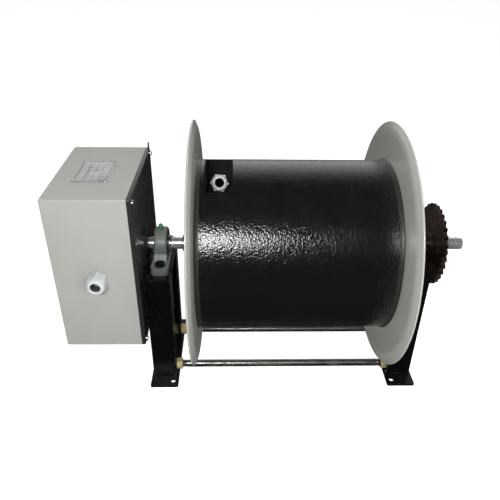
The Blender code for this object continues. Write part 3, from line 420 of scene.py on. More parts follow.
for side, out in (("left", -1), ("right", 1)):
    low, high = reach(f"{side}_flange")
    face = high.x if out < 0 else low.x
    rim_radius, lean_depth = high.z, (high.x - low.x) - FLANGE_STEEL
    inner = lean_profile(lean_depth, rim_radius - FLANGE_STEEL / 2)
    edge = [(lean_depth + FLANGE_STEEL / 2 * (1 - cos(pi * i / 8)),
             rim_radius - FLANGE_STEEL / 2 * (1 - sin(pi * i / 8))) for i in range(1, 8)]
    outer = [(depth + FLANGE_STEEL, radius) for depth, radius in reversed(inner)]
    profile = [(0, FLANGE_BORE), *inner, *edge, *outer, (FLANGE_STEEL, FLANGE_BORE)]
    disc = turned([(face + out * depth, radius) for depth, radius in profile], FLANGE_STEPS)
    piece(f"{side}_flange", disc, CREAM, "reel")


# ================================================================ cable pocket
# Folded sheet box let into the barrel and welded round its mouth, black like the barrel. The cable's gland
# sits in its rear wall, so that the cable leaves along the barrel.
GLAND_THREAD = 0.01415        # radius over the gland's thread
THROUGH = 0.01                # drills and other cutting tools reach so far past a wall
POCKET_BLACK = paint("pocket_paint", (0.005, 0.005, 0.006), 0.60, 380.0, 0.00025, dust=0.01, specular=0.08)
gland_low, gland_high = reach("drum_gland_nut")
gland_middle = (gland_low + gland_high) / 2
gland_up = gland_middle.dot(POCKET_OUT)
DRUM_GLAND_SEAT = POCKET_OUT * gland_up + Vector((POCKET_X, 0, 0))


def pin(radius, start, end, steps=32):
    """Plain round bar between two points, for cutting holes and for small studs."""
    start, end = Vector(start), Vector(end)
    mesh = turned([(0, 0), (0, radius), ((end - start).length, radius), ((end - start).length, 0)], steps)
    aim = Vector((1, 0, 0)).rotation_difference(end - start).to_matrix().to_4x4()
    bmesh.ops.transform(mesh, matrix=Matrix.Translation(start) @ aim, verts=mesh.verts)
    return mesh


def common(mesh, *tools):
    """What the mesh and its tools share."""
    return shaped(mesh, tools, "INTERSECT")


def drill(radius, spot, way, steps=32):
    """Drill that passes through a wall at a spot, for cutting a hole."""
    way = Vector(way) * THROUGH
    return pin(radius, Vector(spot) - way, Vector(spot) + way, steps)


barrel_room = turned([(-BARREL_END, 0), (-BARREL_END, BARREL_RADIUS), (BARREL_END, BARREL_RADIUS),
                      (BARREL_END, 0)], BARREL_STEPS)
pocket_shell = common(pocket_room(POCKET_STEEL), barrel_room)
gland_hole = drill(GLAND_THREAD + GAP, DRUM_GLAND_SEAT, POCKET_FACE)
piece("cable_pocket", cut(pocket_shell, pocket_room(0), gland_hole), POCKET_BLACK, "reel",
      edge=0.0005, segments=2)


# ================================================================ cable glands
# Screwed glands of white nylon with 33 mm flats, one in the pocket and one in the slip-ring box. Each has a
# body with a hexagon flange, a domed cap nut and a rubber seal, and is empty: no cable is in it.
GLAND_FLATS = 0.033
GLAND_INSIDE, GLAND_FLANGE, GLAND_NECK = 0.0125, 0.0055, 0.0145    # lengths along the gland, from its wall
GLAND_CAP_START, GLAND_SHOULDER, GLAND_LENGTH = 0.0058, 0.0190, 0.0275
GLAND_NECK_RADIUS, GLAND_BORE, GLAND_MOUTH = 0.0125, 0.010, 0.0095
GLAND_CROWN = (0.0172, 0.0122)      # radii of the cap's dome, at its shoulder and at its end
SEAL_ROOM, SEAL_SEAT = 0.0012, 0.010    # how much wider the body is round its seal, and from where
MOUTH_BEVEL = 0.0012
SEAL_PROFILE = [(0.0104, 0.0078), (0.0150, 0.0075), (0.0215, 0.0078), (0.0232, 0.0086), (0.0232, 0.0108),
                (0.0160, 0.0109), (0.0104, 0.0109)]


def moulded(name, colour, roughness, grain=900.0, depth=0.00004, specular=0.5, glow=0.0):
    """Moulded plastic or rubber: a fine spark-eroded skin, faint flow marks and handling dirt."""
    look, tree, shader, place = new_look(name)
    skin = node(tree, "Group", {"Vector": place, "Bumps": grain, "Fine": 0.6}, node_tree=PAINT_SKIN)
    flow = ramp(tree, noise(tree, place, 60.0, 3.0, 0.6), 0.3, 0.75)
    dirt = node(tree, "Group", {"Vector": place, "Amount": 0.22}, node_tree=DUST)
    tone = mixed(tree, flow, (*colour, 1.0), (*(channel * 0.88 for channel in colour), 1.0))
    tone = mixed(tree, dirt, tone, (0.36, 0.34, 0.30, 1.0))
    shine = ramp(tree, flow, 0, 1, roughness * 0.9, roughness * 1.15)
    fill(tree, shader, {"Base Color": tone, "Roughness": shine,
                        "Specular IOR Level": specular, "Subsurface Weight": glow,
                        "Subsurface Radius": (0.004, 0.004, 0.004),
                        "Normal": node(tree, "Bump", {"Height": skin, "Distance": depth})})
    return look


WHITE_NYLON = moulded("white_nylon", (0.66, 0.70, 0.72), 0.30, glow=0.10)
BLACK_RUBBER = moulded("black_rubber", (0.018, 0.018, 0.019), 0.55, specular=0.4)


def together(first, *others):
    """One bmesh from several."""
    for other in others:
        data = bpy.data.meshes.new("joined")
        other.to_mesh(data)
        other.free()
        first.from_mesh(data)
        bpy.data.meshes.remove(data)
    return first


def hexagon(flats):
    """Corners of a hexagon, in Y and Z."""
    radius = flats / sqrt(3)
    return [(radius * sin(pi * i / 3), radius * cos(pi * i / 3)) for i in range(6)]


def hex_block(flats, start, end):
    """Square-ended hexagon bar along X."""
    return lofted([(start, hexagon(flats)), (end, hexagon(flats))])


def hex_bar(flats, start, end, chamfer, both=False):
    """Hexagon bar along X with its corners turned off at its far end, or at both ends."""
    corner, face = flats / sqrt(3), flats / 2 * 0.985
    near = face if both else corner + 0.001
    round_bar = corner + 0.0002
    profile = [(start, 0), (start, near), (start + chamfer, round_bar), (end - chamfer, round_bar),
               (end, face), (end, 0)]
    return common(hex_block(flats, start, end), turned(profile, 72))


def aimed(mesh, seat, direction, roll=0.0):
    """Mesh moved so that its +X points along direction from a seat."""
    turn = Vector((1, 0, 0)).rotation_difference(Vector(direction)).to_matrix().to_4x4()
    matrix = Matrix.Translation(seat) @ turn @ Matrix.Rotation(roll, 4, "X")
    bmesh.ops.transform(mesh, matrix=matrix, verts=mesh.verts)
    return mesh


def threaded(start, end, radius, pitch, depth):
    """Outline points of a ridged thread along X."""
    ridges = int(abs(end - start) / pitch)
    direction = 1 if end > start else -1
    points = []
    for i in range(ridges):
        x = start + direction * pitch * i
        points += [(x, radius - depth), (x + direction * pitch * 0.45, radius),
                   (x + direction * pitch * 0.60, radius)]
    return points + [(end, radius - depth)]


def gland(prefix, seat, direction, body):
    """The three pieces of a gland, with +X pointing out of its wall."""
    spindle = turned([(-GLAND_INSIDE, GLAND_BORE), (-GLAND_INSIDE, GLAND_THREAD - 0.001),
                      *threaded(-GLAND_INSIDE + 0.0005, -0.001, GLAND_THREAD, 0.0015, 0.0008),
                      (0.0, GLAND_THREAD), (0.001, GLAND_THREAD), (0.001, GLAND_NECK_RADIUS),
                      (GLAND_NECK, GLAND_NECK_RADIUS), (GLAND_NECK, GLAND_BORE + SEAL_ROOM),
                      (SEAL_SEAT, GLAND_BORE + SEAL_ROOM), (SEAL_SEAT, GLAND_BORE)], 72)
    flange = cut(hex_bar(GLAND_FLATS, GAP, GLAND_FLANGE, 0.0012),
                 pin(GLAND_BORE + 0.001, (-THROUGH, 0, 0), (2 * THROUGH, 0, 0), 72))

    dome_length, (wide, narrow) = GLAND_LENGTH - GLAND_SHOULDER, GLAND_CROWN
    crown = [(GLAND_CAP_START, 0), (GLAND_CAP_START, GLAND_FLATS * 0.62),
             (GLAND_SHOULDER, GLAND_FLATS * 0.60)]
    crown += [(GLAND_SHOULDER + dome_length * s, narrow + (wide - narrow) * c) for s, c in quarter(8)]
    crown.append((GLAND_LENGTH, 0))
    neck_room, mouth = GLAND_NECK_RADIUS + GAP, GLAND_MOUTH + MOUTH_BEVEL
    hollow = [(GLAND_CAP_START - THROUGH, 0), (GLAND_CAP_START - THROUGH, neck_room),
              (GLAND_LENGTH - 0.005, neck_room), (GLAND_LENGTH - 0.0032, GLAND_MOUTH),
              (GLAND_LENGTH - 0.0008, GLAND_MOUTH), (GLAND_LENGTH + 0.0004, mouth),
              (GLAND_LENGTH + THROUGH, mouth), (GLAND_LENGTH + THROUGH, 0)]
    cap = common(hex_block(GLAND_FLATS, GLAND_CAP_START, GLAND_LENGTH), turned(crown, 96))

    for part, mesh, look, slot, edge in (
            ("body", together(spindle, flange), WHITE_NYLON, "white_nylon", 0.0),
            ("nut", cut(cap, turned(hollow, 72)), WHITE_NYLON, "white_nylon", 0.0004),
            ("seal", turned(SEAL_PROFILE, 72), BLACK_RUBBER, "black_rubber", 0.0)):
        piece(f"{prefix}_gland_{part}", aimed(mesh, seat, direction), look, body, edge)


gland("drum", DRUM_GLAND_SEAT, POCKET_FACE, "reel")


# ================================================================ hubs
# Turned steel hubs on the shaft: a plate inside the drum, bolted up against the flange, and a neck that
# stands out of it, welded round where it passes through the sheet.
HUB_RADIUS, HUB_PLATE_RADIUS, HUB_PLATE, HUB_INSIDE = 0.018, 0.045, 0.008, 0.014
SHAFT_RADIUS = 0.0125
CHAMFER = 0.001               # broken edge of turned and sawn parts
HUB_BEAD, HUB_BEAD_STEP = 0.0022, 0.003    # weld round the neck: its radius, and from ripple to ripple

# Turning marks: fine lines round the shaft's axis, along its length and across its faces.
TURNING, given, give = group("turning_marks", {"Vector": ("Vector", None), "Lines": ("Float", 900.0)},
                             {"Height": "Float", "Tone": "Float"})
along, aside, height = (node(TURNING, "SeparateXYZ", {0: given["Vector"]}, out=axis) for axis in "XYZ")
radius_here = math(TURNING, "SQRT", math(TURNING, "ADD", math(TURNING, "MULTIPLY", aside, aside),
                                         math(TURNING, "MULTIPLY", height, height)))
lathe_place = node(TURNING, "CombineXYZ", {"X": along, "Y": radius_here})
lines = noise(TURNING, lathe_place, given["Lines"], 3.0, 0.7)
give({"Height": lines, "Tone": ramp(TURNING, noise(TURNING, lathe_place, 60.0, 4.0, 0.7), 0.3, 0.7)})


def metal(name, colour, roughness, lines=900.0, depth=0.00003, stain=(0.10, 0.085, 0.07), stained=0.25,
          stain_scale=38.0, worn=0.0, metallic=1.0):
    """Bare or plated steel: lathe lines, uneven shine and darker stained patches."""
    look, tree, shader, place = new_look(name)
    marks = node(tree, "Group", {"Vector": place, "Lines": lines}, node_tree=TURNING)
    tone_lines = marks.node.outputs["Tone"]
    stains = noise(tree, place, stain_scale, 6.0, 0.68)
    patch = ramp(tree, stains, 0.62 - stained * 0.4, 0.80 - stained * 0.25)
    tone = mixed(tree, tone_lines, (*colour, 1.0), (*(channel * 0.82 for channel in colour), 1.0))
    tone = mixed(tree, math(tree, "MULTIPLY", patch, 0.75), tone, (*stain, 1.0))
    if worn:
        bright = node(tree, "Group", {"Vector": place, "Amount": worn}, node_tree=EDGE_WEAR)
        tone = mixed(tree, bright, tone, (0.62, 0.61, 0.60, 1.0))
    shine = math(tree, "ADD", ramp(tree, tone_lines, 0, 1, roughness * 0.85, roughness * 1.15),
                 math(tree, "MULTIPLY", patch, 0.22))
    fill(tree, shader, {"Base Color": tone, "Metallic": ramp(tree, patch, 0, 1, metallic, metallic * 0.65),
                        "Roughness": shine,
                        "Normal": node(tree, "Bump", {"Height": marks, "Distance": depth})})
    return look


def ring_points(x, radius, spacing):
    """Points round the shaft's axis, so far apart."""
    count = ceil(2 * pi * radius / spacing)
    return [(x, radius * sin(2 * pi * i / count), radius * cos(2 * pi * i / count)) for i in range(count)]


def bead(points, radius, seed, closed=False):
    """Weld bead along a path, a round bar that swells and narrows from ripple to ripple."""
    dice = Random(seed)
    ripple, uneven = 0.13, 0.12
    curve = bpy.data.curves.new("bead", "CURVE")
    curve.dimensions = "3D"
    curve.bevel_depth, curve.bevel_resolution, curve.use_fill_caps = radius, 2, True
    spline = curve.splines.new("POLY")
    spline.points.add(len(points) - 1)
    for i, (spot, point) in enumerate(zip(points, spline.points)):
        point.co = (*spot, 1.0)
        point.radius = 1.0 + ripple * (i % 2) + uneven * (dice.random() - 0.5)
    spline.use_cyclic_u = closed
    holder = bpy.data.objects.new("bead", curve)
    bpy.context.collection.objects.link(holder)
    graph = bpy.context.evaluated_depsgraph_get()
    data = bpy.data.meshes.new_from_object(holder.evaluated_get(graph))
    result = bmesh.new()
    result.from_mesh(data)
    bpy.data.objects.remove(holder, do_unlink=True)
    bpy.data.curves.remove(curve)
    bpy.data.meshes.remove(data)
    return result


BRIGHT_STEEL = metal("bright_steel", (0.66, 0.65, 0.63), 0.24, stained=0.12)

for side, out in (("left", -1), ("right", 1)):
    low, high = reach(f"{side}_flange")
    face = high.x if out < 0 else low.x
    hub_low, hub_high = reach(f"{side}_hub")
    outer_end = (face - hub_low.x) if out < 0 else (hub_high.x - face)
    bore, neck_chamfer = SHAFT_RADIUS + GAP, 1.5 * CHAMFER
    plate_back, inner_end = -GAP - HUB_PLATE, -GAP - HUB_PLATE - HUB_INSIDE
    profile = [(outer_end, bore + 0.0005), (outer_end, HUB_RADIUS - neck_chamfer),
               (outer_end - neck_chamfer, HUB_RADIUS), (-GAP, HUB_RADIUS), (-GAP, HUB_PLATE_RADIUS - CHAMFER),
               (-GAP - CHAMFER, HUB_PLATE_RADIUS), (plate_back + CHAMFER, HUB_PLATE_RADIUS),
               (plate_back, HUB_PLATE_RADIUS - CHAMFER), (plate_back, HUB_RADIUS), (inner_end, HUB_RADIUS),
               (inner_end, bore)]
    hub = turned([(face + out * depth, radius) for depth, radius in profile], 96)
    weld_path = ring_points(face + out * (FLANGE_STEEL + 0.0008), HUB_RADIUS + 0.0008, HUB_BEAD_STEP)
    weld_ring = bead(weld_path, HUB_BEAD, 11 + out, closed=True)
    piece(f"{side}_hub", together(hub, weld_ring), BRIGHT_STEEL, "reel")


# ================================================================ shaft and sprocket key
# Bright drawn bar of 25 mm. It is bored from the box's end to carry the slip rings' leads into the drum,
# chamfered at both ends, centre drilled at the driven end, and keyed where the sprocket sits.
SHAFT_BORE, BORE_BEVEL, SHAFT_END_CHAMFER = 0.007, 0.0006, 0.0015
LEAD_PAST_HUB, LEAD_SHARE = 0.0142, 0.8    # the leads' way out: its place, and its radius in bores
CENTRE_MOUTH, CENTRE_DRILL = 0.0032, 0.0016    # centre drilling in the driven end, radii
SHAFT_STEEL = metal("drawn_bar", (0.80, 0.79, 0.78), 0.24, lines=1400.0, depth=0.00001, stained=0.14,
                    stain=(0.16, 0.13, 0.10), metallic=0.8)


def slab(low, high):
    """Square-edged block between two corners."""
    mesh = bmesh.new()
    low, high = Vector(low), Vector(high)
    bmesh.ops.create_cube(mesh, size=1.0)
    bmesh.ops.scale(mesh, vec=high - low, verts=mesh.verts)
    bmesh.ops.translate(mesh, vec=(low + high) / 2, verts=mesh.verts)
    return mesh


low, high = reach("shaft")
shaft_left, shaft_right = low.x, high.x
key_low, key_high = reach("sprocket_key")
lead_exit = reach("left_hub")[1].x + LEAD_PAST_HUB
bar = turned([(shaft_left, SHAFT_BORE + BORE_BEVEL), (shaft_left, SHAFT_RADIUS - CHAMFER),
              (shaft_left + CHAMFER, SHAFT_RADIUS), (shaft_right - SHAFT_END_CHAMFER, SHAFT_RADIUS),
              (shaft_right, SHAFT_RADIUS - SHAFT_END_CHAMFER), (shaft_right, CENTRE_MOUTH),
              (shaft_right - 0.003, CENTRE_DRILL), (shaft_right - 0.008, CENTRE_DRILL),
              (shaft_right - 0.009, 0), (lead_exit + SHAFT_BORE, 0), (lead_exit + SHAFT_BORE, SHAFT_BORE),
              (shaft_left + BORE_BEVEL, SHAFT_BORE)], 96)
way_out = pin(SHAFT_BORE * LEAD_SHARE, (lead_exit, 0, 0), (lead_exit, 0, 2 * SHAFT_RADIUS))
key_room = slab(key_low - Vector((GAP, GAP, GAP)), key_high + Vector((GAP, GAP, GAP)))
piece("shaft", cut(bar, way_out, key_room), SHAFT_STEEL, "reel", edge=0.0003, segments=2)
piece("sprocket_key", slab(key_low, key_high), BRIGHT_STEEL, "reel", edge=0.0004)


# ================================================================ pillow blocks
# Cast iron housings in grey-green enamel, each bolted to its stand by two M10 bolts, with a self-aligning
# insert bearing: a ground outer ring behind steel shields and a long inner ring with two set screws.
BASE_HALF, BASE_HEIGHT, BODY_HALF, NECK_HALF = 0.018, 0.015, 0.013, 0.01209
BASE_CORNER = 0.011           # rounding of the base's ends, seen from above
BODY_RADIUS, BODY_ROUND, CHEEK = 0.0345, (0.003, 0.0025), 0.03243
OUTER_RING, OUTER_RING_HALF, SHIELD, SHIELD_BORE, INNER_RING = 0.026, 0.0085, 0.0225, 0.0178, 0.017
SEAT_FLARE = 0.0022           # housing's bore opens so far at its ends, in radius
RELIEF_HALF, RELIEF_HEIGHT = (0.011, 0.030), 0.004    # hollow under the base
SLOT_HALF = (0.0056, 0.0085)  # bolt slot in the base
CAP_BOSS = 0.0075             # radius of the boss under the grease cap
BOLT_FLATS, BOLT_HEAD, BOLT_RADIUS, BOLT_INSET = 0.017, 0.0064, 0.005, 0.0175
WASHER, WASHER_RADIUS, NUT_HEIGHT = 0.0015, 0.0105, 0.008
TOP_STEEL = 0.006             # stand's top plate, which the bolts pass through
GRUB_HOLE, GRUB, GRUB_SOCKET = 0.0028, 0.00255, 0.0025
GRUB_TURNS = (radians(-60), radians(60))

CAST_GRAIN, given, give = group("cast_grain", {"Vector": ("Vector", None)}, {"Height": "Float"})
sand = noise(CAST_GRAIN, given["Vector"], 520.0, 4.0, 0.7)
lumps = noise(CAST_GRAIN, given["Vector"], 90.0, 3.0)
give({"Height": math(CAST_GRAIN, "ADD", sand, math(CAST_GRAIN, "MULTIPLY", lumps, 1.6))})


def casting(name, colour):
    """Brushed enamel over sand-cast iron: grainy, dusty on top, chipped to iron at its corners."""
    look, tree, shader, place = new_look(name)
    grain = node(tree, "Group", {"Vector": place}, node_tree=CAST_GRAIN)
    dusty = node(tree, "Group", {"Vector": place, "Amount": 0.45}, node_tree=DUST)
    chips = node(tree, "Group", {"Vector": place, "Radius": 0.0015, "Amount": 0.7}, node_tree=EDGE_WEAR)
    uneven = ramp(tree, noise(tree, place, 70.0, 5.0, 0.6), 0.3, 0.7)
    tone = mixed(tree, uneven, (*colour, 1.0), (*(channel * 0.72 for channel in colour), 1.0))
    tone = mixed(tree, dusty, tone, (0.30, 0.28, 0.24, 1.0))
    tone = mixed(tree, chips, tone, (0.12, 0.085, 0.065, 1.0))
    fill(tree, shader, {"Base Color": tone, "Roughness": ramp(tree, uneven, 0, 1, 0.38, 0.58),
                        "Normal": node(tree, "Bump", {"Height": grain, "Distance": 0.00022})})
    return look


BEARING_PAINT = casting("bearing_enamel", (0.155, 0.185, 0.165))
RING_STEEL = metal("ground_ring", (0.42, 0.42, 0.42), 0.26, stained=0.15)
DARK_BOLT = metal("blackened_bolt", (0.060, 0.058, 0.056), 0.42, stain=(0.10, 0.06, 0.04), worn=0.8)
GREEN_PLASTIC = moulded("green_plastic", (0.045, 0.24, 0.13), 0.38)


def joined(mesh, *tools):
    """Mesh and tools grown into one skin."""
    return shaped(mesh, tools, "UNION")


def rounded_plan(half_x, half_y, corner, steps=6):
    """Outline of a rectangle with rounded corners, in two coordinates."""
    points = []
    for number, (sx, sy) in enumerate(((1, 1), (-1, 1), (-1, -1), (1, -1))):
        for i in range(steps + 1):
            turn = pi / 2 * (number + i / steps)
            points.append((sx * (half_x - corner) + corner * cos(turn),
                           sy * (half_y - corner) + corner * sin(turn)))
    return points


def standing(outline, bottom, top, centre=(0, 0)):
    """Prism that stands on an (x, y) outline between two heights."""
    mesh = bmesh.new()
    loops = [[mesh.verts.new((centre[0] + x, centre[1] + y, z)) for x, y in outline] for z in (bottom, top)]
    for i in range(len(outline)):
        mesh.faces.new((loops[0][i - 1], loops[0][i], loops[1][i], loops[1][i - 1]))
    mesh.faces.new(loops[0])
    mesh.faces.new(loops[1])
    return mesh


for side, inward in (("left", 1), ("right", -1)):
    low, high = reach(f"{side}_bearing_housing")
    x, half_y, seat = (low.x + high.x) / 2, high.y, low.z
    base_top = seat + BASE_HEIGHT - GAP
    bolt_y = half_y - BOLT_INSET
    shoulder = bolt_y - BOLT_FLATS / sqrt(3) - 0.001

    foot = standing(rounded_plan(BASE_HALF, half_y, BASE_CORNER), seat, base_top, (x, 0))
    slope = [(-shoulder, seat + 0.006), (shoulder, seat + 0.006), (shoulder, base_top), (CHEEK, -0.004),
             (CHEEK * 0.9, 0.012), (-CHEEK * 0.9, 0.012), (-CHEEK, -0.004), (-shoulder, base_top)]
    neck = lofted([(x - NECK_HALF, slope), (x + NECK_HALF, slope)])
    round_x, round_r = BODY_ROUND
    arch = turned([(x - BODY_HALF, 0), (x - BODY_HALF, BODY_RADIUS - round_r),
                   (x - BODY_HALF + round_x, BODY_RADIUS), (x + BODY_HALF - round_x, BODY_RADIUS),
                   (x + BODY_HALF, BODY_RADIUS - round_r), (x + BODY_HALF, 0)], 96)
    boss = pin(CAP_BOSS, (x, 0, BODY_RADIUS - 0.006), (x, 0, BODY_RADIUS + 0.0002))
    housing = joined(foot, neck, arch, boss)
    seat_radius, mouth_radius, mouth = OUTER_RING + GAP, OUTER_RING + SEAT_FLARE, 0.03
    bore = turned([(x - mouth, 0), (x - mouth, mouth_radius), (x - BODY_HALF + 0.002, seat_radius),
                   (x + BODY_HALF - 0.002, seat_radius), (x + mouth, mouth_radius), (x + mouth, 0)], 96)
    slots = [standing(rounded_plan(*SLOT_HALF, 0.0055), seat - THROUGH, base_top + THROUGH, (x, end * bolt_y))
             for end in (-1, 1)]
    relief = slab((x - RELIEF_HALF[0], -RELIEF_HALF[1], seat - THROUGH),
                  (x + RELIEF_HALF[0], RELIEF_HALF[1], seat + RELIEF_HEIGHT))
    piece(f"{side}_bearing_housing", cut(housing, bore, relief, *slots), BEARING_PAINT, "frame",
          edge=0.0013)

    edge, ring_shoulder, dish = OUTER_RING_HALF, OUTER_RING - 0.0012, (0.0008, 0.0012)
    outer_ring = turned([(-edge, SHIELD), (-edge, ring_shoulder), (0, OUTER_RING), (edge, ring_shoulder),
                         (edge, SHIELD), (edge - dish[0], SHIELD - 0.0003), (edge - dish[1], SHIELD_BORE),
                         (-edge + dish[1], SHIELD_BORE), (-edge + dish[0], SHIELD - 0.0003)], 96)
    piece(f"{side}_bearing_outer_ring", aimed(outer_ring, (x, 0, 0), (1, 0, 0)), RING_STEEL, "frame",
          edge=0.0003)

    inner_low, inner_high = reach(f"{side}_bearing_inner_ring")
    ring_low, ring_high = inner_low.x, inner_high.x
    inner_ring = turned([(ring_low, SHAFT_RADIUS + GAP), (ring_low, INNER_RING - CHAMFER),
                         (ring_low + CHAMFER, INNER_RING), (ring_high - CHAMFER, INNER_RING),
                         (ring_high, INNER_RING - CHAMFER), (ring_high, SHAFT_RADIUS + GAP)], 96)
    screw_x = (ring_high - 0.005) if inward > 0 else (ring_low + 0.005)
    grub_holes = [pin(GRUB_HOLE, (screw_x, 0, 0), (screw_x, 0.03 * sin(turn), 0.03 * cos(turn)), 24)
                  for turn in GRUB_TURNS]
    piece(f"{side}_bearing_inner_ring", cut(inner_ring, *grub_holes), RING_STEEL, "reel",
          edge=0.0003)
    for number, turn in enumerate(GRUB_TURNS, 1):
        way = Vector((0, sin(turn), cos(turn)))
        grub = cut(pin(GRUB, (screw_x, *(way * (SHAFT_RADIUS + GAP)).yz),
                       (screw_x, *(way * (INNER_RING - 0.0006)).yz), 24),
                   aimed(hex_block(GRUB_SOCKET, 0, 0.004),
                         Vector((screw_x, 0, 0)) + way * (INNER_RING - 0.003), way))
        piece(f"{side}_bearing_set_screw_{number}", grub, DARK_BOLT, "reel")

    cap_low, cap_high = reach(f"{side}_grease_cap")
    foot_z, top_z, cap_radius = cap_low.z, cap_high.z, (cap_high.x - cap_low.x) / 2
    dome_radius, dome_height = cap_radius - 0.0009, 0.0045
    dome = [(foot_z, 0), (foot_z, cap_radius - 0.0006), (foot_z + 0.0006, cap_radius),
            (foot_z + 0.0035, cap_radius), (foot_z + 0.0042, dome_radius), (foot_z + 0.0055, dome_radius)]
    dome += [(top_z - dome_height + dome_height * s, dome_radius * c) for s, c in quarter(6)[:-1]]
    dome.append((top_z, 0))
    piece(f"{side}_grease_cap", aimed(turned(dome, 48), (x, 0, 0), (0, 0, 1)), GREEN_PLASTIC, "frame")

    for end, where in ((-1, "front"), (1, "rear")):
        spot = Vector((x, end * bolt_y, base_top + GAP))
        bolt_low = reach(f"{side}_bearing_bolt_{where}")[0].z - spot.z
        washer = cut(pin(WASHER_RADIUS, (0, 0, 0), (WASHER, 0, 0), 48),
                     drill(BOLT_RADIUS + GAP, (0, 0, 0), (1, 0, 0)))
        head = hex_bar(BOLT_FLATS, WASHER, BOLT_HEAD, CHAMFER)
        shank = turned([(bolt_low, 0), *threaded(bolt_low, bolt_low + 0.020, BOLT_RADIUS, 0.0015, 0.0008),
                        (bolt_low + 0.021, BOLT_RADIUS), (WASHER + 0.001, BOLT_RADIUS),
                        (WASHER + 0.001, 0)], 48)
        bolt = aimed(together(washer, head, shank), spot, (0, 0, 1), roll=radians(12 * end))
        piece(f"{side}_bearing_bolt_{where}", bolt, DARK_BOLT, "frame", edge=0.0003,
              segments=2)
        nut_low = seat - TOP_STEEL - 2 * GAP - NUT_HEIGHT
        nut = cut(hex_bar(BOLT_FLATS, 0, NUT_HEIGHT, CHAMFER, both=True),
                  pin(BOLT_RADIUS + 0.0001, (-THROUGH, 0, 0), (2 * THROUGH, 0, 0)))
        piece(f"{side}_bearing_nut_{where}", aimed(nut, (spot.x, spot.y, nut_low), (0, 0, 1)), DARK_BOLT,
              "frame")


# ================================================================ stands
# Two welded frames, each of two 50 x 40 x 5 mm angle uprights between a foot plate and a top plate, in black
# gloss paint. The foot has a bolt hole at each end, and the top plate carries the pillow block.
LEG_WIDTH, LEG_RETURN, LEG_STEEL, STAND_HALF = 0.050, 0.040, 0.005, 0.080
LEG_TOE, LEG_ROOT, LEG_HEEL = 0.0025, 0.005, 0.0003    # roundings of the rolled angle
FOOT_STEEL, FOOT_LEDGE, TOP_LEDGE, TOP_END = 0.005, 0.0065, 0.001, 0.005
FOOT_HOLE, FOOT_HOLE_OUT, FOOT_HOLE_INSET, ROD_HOLE = 0.0055, 0.0055, 0.0155, 0.0086
STAND_BEAD, BEAD_STEP, BEAD_SINK = 0.0024, 0.0028, 0.0006
BLACK_GLOSS = paint("black_gloss_paint", (0.003, 0.003, 0.0036), 0.26, 260.0, 0.00016, 0.25, dust=0.02,
                    wear=0.3, specular=0.34)
rod_low, rod_high = reach("tie_rod_front")
ROD_HEIGHT, ROD_RADIUS, ROD_Y = (rod_low.z + rod_high.z) / 2, (rod_high.z - rod_low.z) / 2, 0.060


def angle_iron(face, out, side):
    """Outline of one upright: sharp heel, rounded root and toes, in X and Y."""
    # Heel at (0, 0), one flange along the first coordinate, the other along the second.
    toe, root, wall = LEG_TOE, LEG_ROOT, LEG_STEEL
    points = [(LEG_HEEL, 0.0), (LEG_WIDTH, 0.0)]
    points += [(LEG_WIDTH - toe + toe * c, wall - toe + toe * s) for s, c in quarter(5)]
    points += [(wall + root - root * s, wall + root - root * c) for s, c in quarter(5)]
    points += [(wall - toe + toe * c, LEG_RETURN - toe + toe * s) for s, c in quarter(5)]
    points += [(0.0, LEG_RETURN), (0.0, LEG_HEEL)]
    return [(face + out * a, side * (STAND_HALF - b)) for a, b in points]


for name, out in (("left_stand", -1), ("right_stand", 1)):
    low, high = reach(name)
    far_edge = low.x if out < 0 else high.x
    near_edge = high.x if out < 0 else low.x
    face = near_edge + out * FOOT_LEDGE
    ground, seat = low.z, high.z
    foot_half = high.y
    foot_plan = rounded_plan(abs(far_edge - near_edge) / 2, foot_half, 0.003)
    foot = standing(foot_plan, ground, ground + FOOT_STEEL, ((near_edge + far_edge) / 2, 0))
    top_near, top_far = face - out * TOP_LEDGE, face + out * (LEG_WIDTH - 0.0005)
    top_plan = rounded_plan(abs(top_far - top_near) / 2, STAND_HALF + TOP_END, 0.002)
    top = standing(top_plan, seat - TOP_STEEL, seat, ((top_near + top_far) / 2, 0))
    legs = [standing(angle_iron(face, out, side), ground + FOOT_STEEL / 2, seat - TOP_STEEL / 2)
            for side in (-1, 1)]
    bearing_low, bearing_high = reach(name.replace("stand", "bearing_housing"))
    bearing_x, bolt_y = (bearing_low.x + bearing_high.x) / 2, bearing_high.y - BOLT_INSET
    holes = []
    for side in (-1, 1):
        foot_spot = (face + out * FOOT_HOLE_OUT, side * (foot_half - FOOT_HOLE_INSET))
        bolt_spot = (bearing_x, side * bolt_y)
        rod_ends = sorted((face - out * THROUGH, face + out * 0.012))
        holes += [pin(ROD_HOLE, *((end, side * ROD_Y, ROD_HEIGHT) for end in rod_ends)),
                  pin(FOOT_HOLE, (*foot_spot, ground - THROUGH), (*foot_spot, ground + 2 * THROUGH)),
                  pin(BOLT_RADIUS + 0.0006, (*bolt_spot, seat - 2 * THROUGH), (*bolt_spot, seat + THROUGH))]
    stand = cut(joined(foot, *legs, top), *holes)
    piece(name, stand, BLACK_GLOSS, "frame", edge=0.0012)

    beads = []
    for side in (-1, 1):
        for level, at_foot, seed in ((ground + FOOT_STEEL + BEAD_SINK, True, 21),
                                     (seat - TOP_STEEL - BEAD_SINK, False, 31)):
            outside = [(face + out * (LEG_WIDTH - 0.004 - BEAD_STEP * i), side * (STAND_HALF + BEAD_SINK),
                        level) for i in range(15)]
            beads.append(bead(outside, STAND_BEAD, seed + side))
            if at_foot:
                inside = [(face - out * BEAD_SINK, side * (STAND_HALF - 0.003 - BEAD_STEP * i), level)
                          for i in range(12)]
                beads.append(bead(inside, STAND_BEAD, seed + 5 + side))
    piece(f"{name}_welds", together(beads[0], *beads[1:]), BLACK_GLOSS, "frame")


